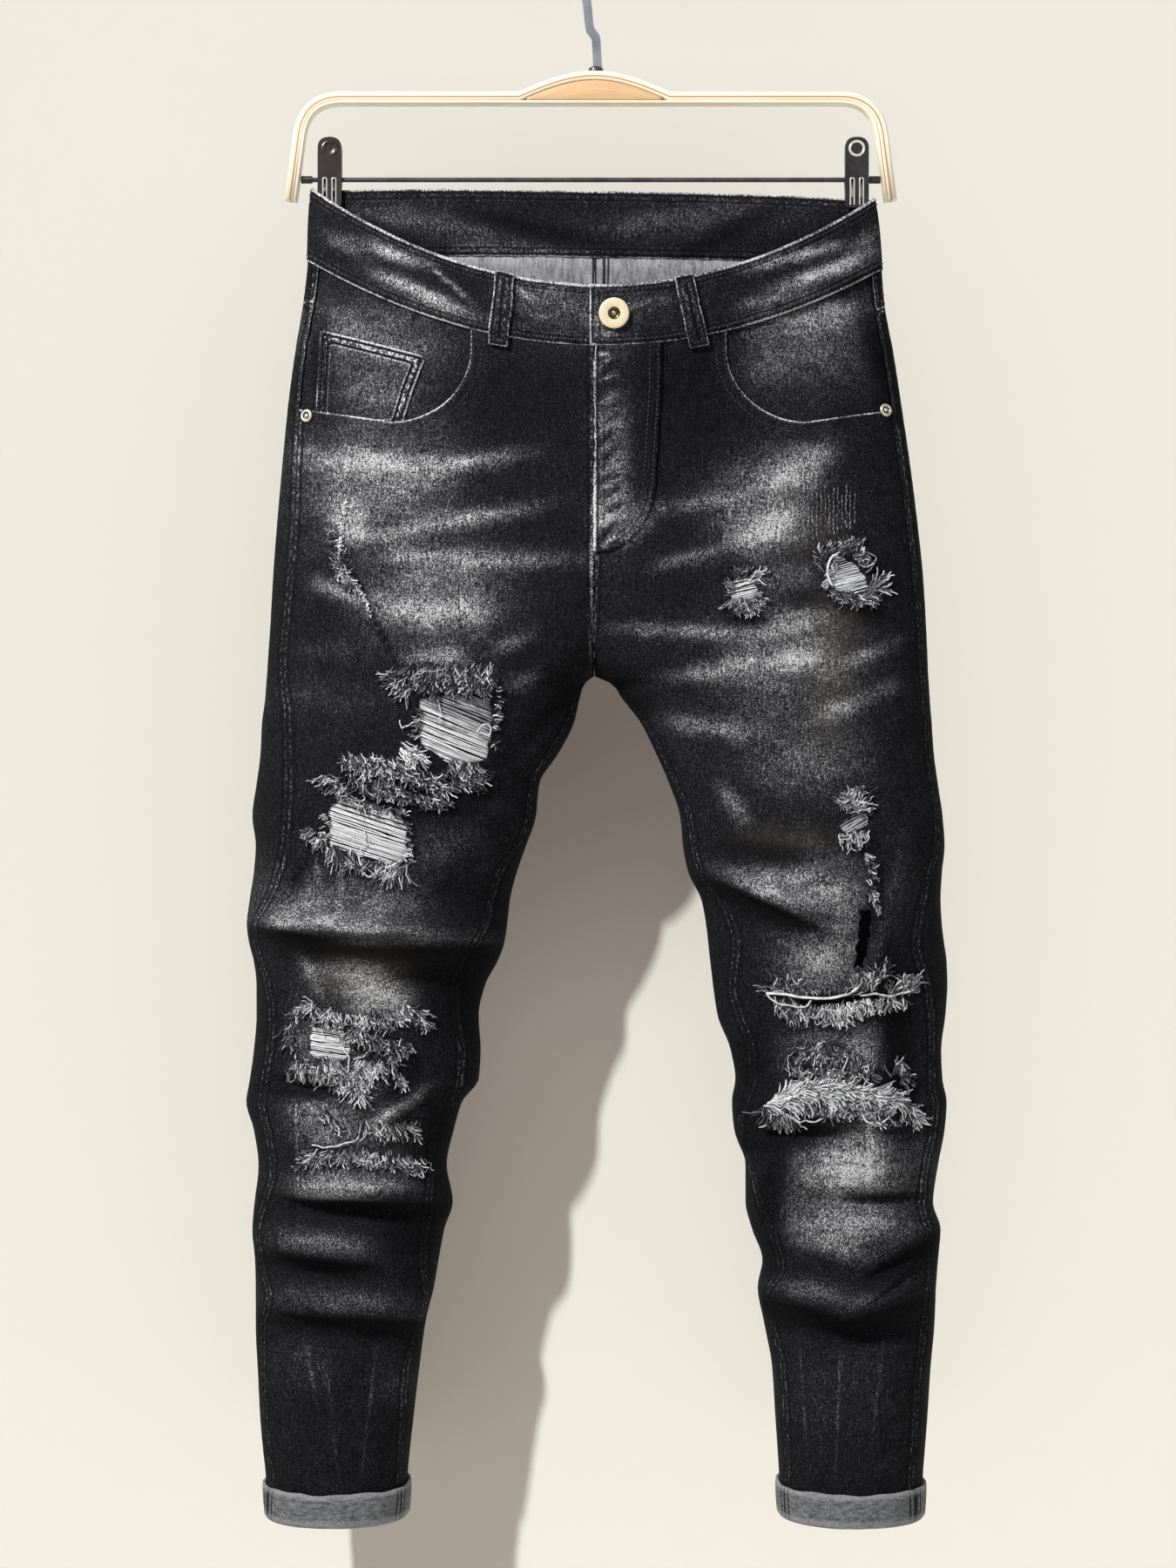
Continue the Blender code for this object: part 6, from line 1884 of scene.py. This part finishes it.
def hanger_frame():
    thick = FRAME["thick"]
    mid = FRAME["top"] - thick / 2
    left, right, foot, lean = (FRAME[key] for key in ("left", "right", "foot", "lean"))
    corners = [(left, foot), (left + lean, mid), (right - lean, mid), (right, foot)]
    path = rounded(corners, FRAME["corner"])
    upper, lower = beside(path, thick / 2), beside(path, -thick / 2)
    half = len(upper) // 2
    xs = np.linspace(-1, 1, 41) * ARCH["half"] + ARCH["middle"]
    rise = ARCH["rise"] + FRAME["top"] - ARCH["layer"] - ARCH["base"]
    bends = ((FRAME["top"], ARCH["rise"]), (ARCH["base"], rise), (ARCH["base"], 0), (FRAME["top"] - thick, 0))
    crown, hole, ledge, straight = (
        [Vector((x, level + arch_rise(x, height))) for x in xs] for level, height in bends
    )
    start, end = upper[:half], upper[half:]
    under = beside(path, thick / 2 - ARCH["layer"])
    strips = {
        "bow_upper": (start + crown + end, under[:half] + hole + under[half:]),
        "bow_lower": (under[:half] + ledge + under[half:], lower[:half] + straight + lower[half:]),
    }
    for name, (top, bottom) in strips.items():
        bar(name, top, bottom, BEECH, ("hanger_frame",), FRAME["depth"])
    crest = [Vector((x, ARCH["base"] - GAP + arch_rise(x, rise))) for x in xs[2:-2]]
    flat = [Vector((point.x, ARCH["base"] + 0.1)) for point in crest]
    bar("bow_wedge", crest, flat, CORE, ("hanger_insert",), FRAME["depth"] - 0.6)


hanger_frame()

STEEL = hard_finish("brushed_steel", (0.33, 0.34, 0.4), (0.55, 0.6, 0.66), 0.3, 120.0, Metallic=0.75)
CHROME = hard_finish("chrome", (0.86, 0.85, 0.84), (0.66, 0.65, 0.65), 0.18, Metallic=0.45)
DARK_CHROME = hard_finish("dark_chrome", (0.085, 0.075, 0.07), (0.14, 0.12, 0.11), 0.24, Metallic=0.85)
BLACK_CLIP = hard_finish("black_enamel", (0.018, 0.017, 0.018), (0.04, 0.036, 0.036), 0.25, Coat_Weight=0.4)
BRONZE = hard_finish("dark_bronze", (0.1, 0.085, 0.08), (0.2, 0.17, 0.15), 0.35, Metallic=1.0)
BLACK_RAIL = hard_finish("black_rail", (0.035, 0.035, 0.04), (0.07, 0.07, 0.075), 0.36, 180.0)
RUBBER = hard_finish("black_rubber", (0.006, 0.006, 0.006), (0.014, 0.014, 0.014), 0.5)


def restyle(node, finish, bevel=0.0):
    """Gives a solid that is already the right shape its finish, and eases its edges."""
    obj = frame["nodes"][node]
    obj.data.materials.clear()
    obj.data.materials.append(finish)
    if bevel:
        ease = obj.modifiers.new("eased_edges", "BEVEL")
        ease.width = bevel * MM
        ease.segments = 2
        ease.limit_method = "ANGLE"


restyle("hook", STEEL, 0.7)
restyle("ferrule", BRONZE)
restyle("hanger_rod", BLACK_RAIL)
for side in SIDE_OF_LEG:
    restyle(f"rod_sleeve_{side}", RUBBER)
    restyle(f"clip_{side}_front", DARK_CHROME if side == "left" else BLACK_CLIP, 0.35)
    restyle(f"clip_{side}_back", CHROME, 0.35)
    restyle(f"clip_{side}_spring", STEEL)


def clip_fittings(side):
    """The pressed thumb dimple or eyelet of a clip, and its two prongs bent from one wire each."""
    middle = CLIP[side]
    face = CLIP["front"] - CLIP["plate"]
    top, foot, bend = CLIP["slot_top"] - 1, CLIP["foot"], CLIP["prong_bend"]
    for number, shift in enumerate((-CLIP["prong_apart"], CLIP["prong_apart"])):
        near, far = middle + shift - bend, middle + shift + bend
        corners = [(near, foot), (near, top), (far, top), (far, foot)]
        path = np.array([(point.x, face - 0.2, point.y) for point in rounded(corners, bend, 6)])
        tone = np.zeros((1, len(path)))
        mesh = tubes(f"prong_{side}_{number}", path[None], tone + 0.55, tone, 8)
        add_piece(f"prong_{side}_{number}", mesh, (CHROME,))
    if side == "left":
        profile = [(6.2, 0), (5.9, 0.55), (5.0, 0.7), (3.6, 0.2), (0, -0.3)]
        finish, slot = DARK_CHROME, "black_steel"
    else:
        profile = [(4.2, 0.1), (4.4, 0.9), (5.2, 1.2), (6.0, 0.8), (6.2, 0)]
        finish, slot = CHROME, "steel"
    mesh = turned(f"thumb_{side}", profile)
    for vert in mesh.vertices:
        vert.co = Vector((vert.co.x + middle * MM, face * MM - vert.co.z, vert.co.y + CLIP["thumb"] * MM))
    mesh.flip_normals()
    add_piece(f"thumb_{side}", mesh, (finish,))


for side in SIDE_OF_LEG:
    clip_fittings(side)

# ---- The cuts ----
# The flat width and length of what shows of each cloth piece, in metres; declare takes them and does nothing
# more. The garment hangs from its waistband, which the clips hold, and each torn front is passed with its
# loose yarns.


def declare(width, length, with_pieces=()):
    flat, with_pieces = (width, length), list(with_pieces)


declare(0.053, 0.92)
for leg in LEGS:
    declare(0.25, 0.92, with_pieces=[YARNS[leg]])
    declare(0.31, 0.93)
    declare(0.22, 0.066)
    declare(0.15, 0.135)
    declare(0.142, 0.156)
    declare(0.029, 0.32)
declare(0.085, 0.08)
declare(0.05, 0.152)
for loop in BELT_LOOPS:
    declare(0.014, 0.065)

# ---- The sun on the wall ----
# Only the left leg shades it, so one soft shadow falls between the legs.
SHADED = group("left_leg", [FRONTS["left"], BACKS["left"]])
lamp("wall_sun", None, TO_WALL, 0.03, 3.46, (0.955, 1.0, 0.985), WALL_ONLY, SHADED)
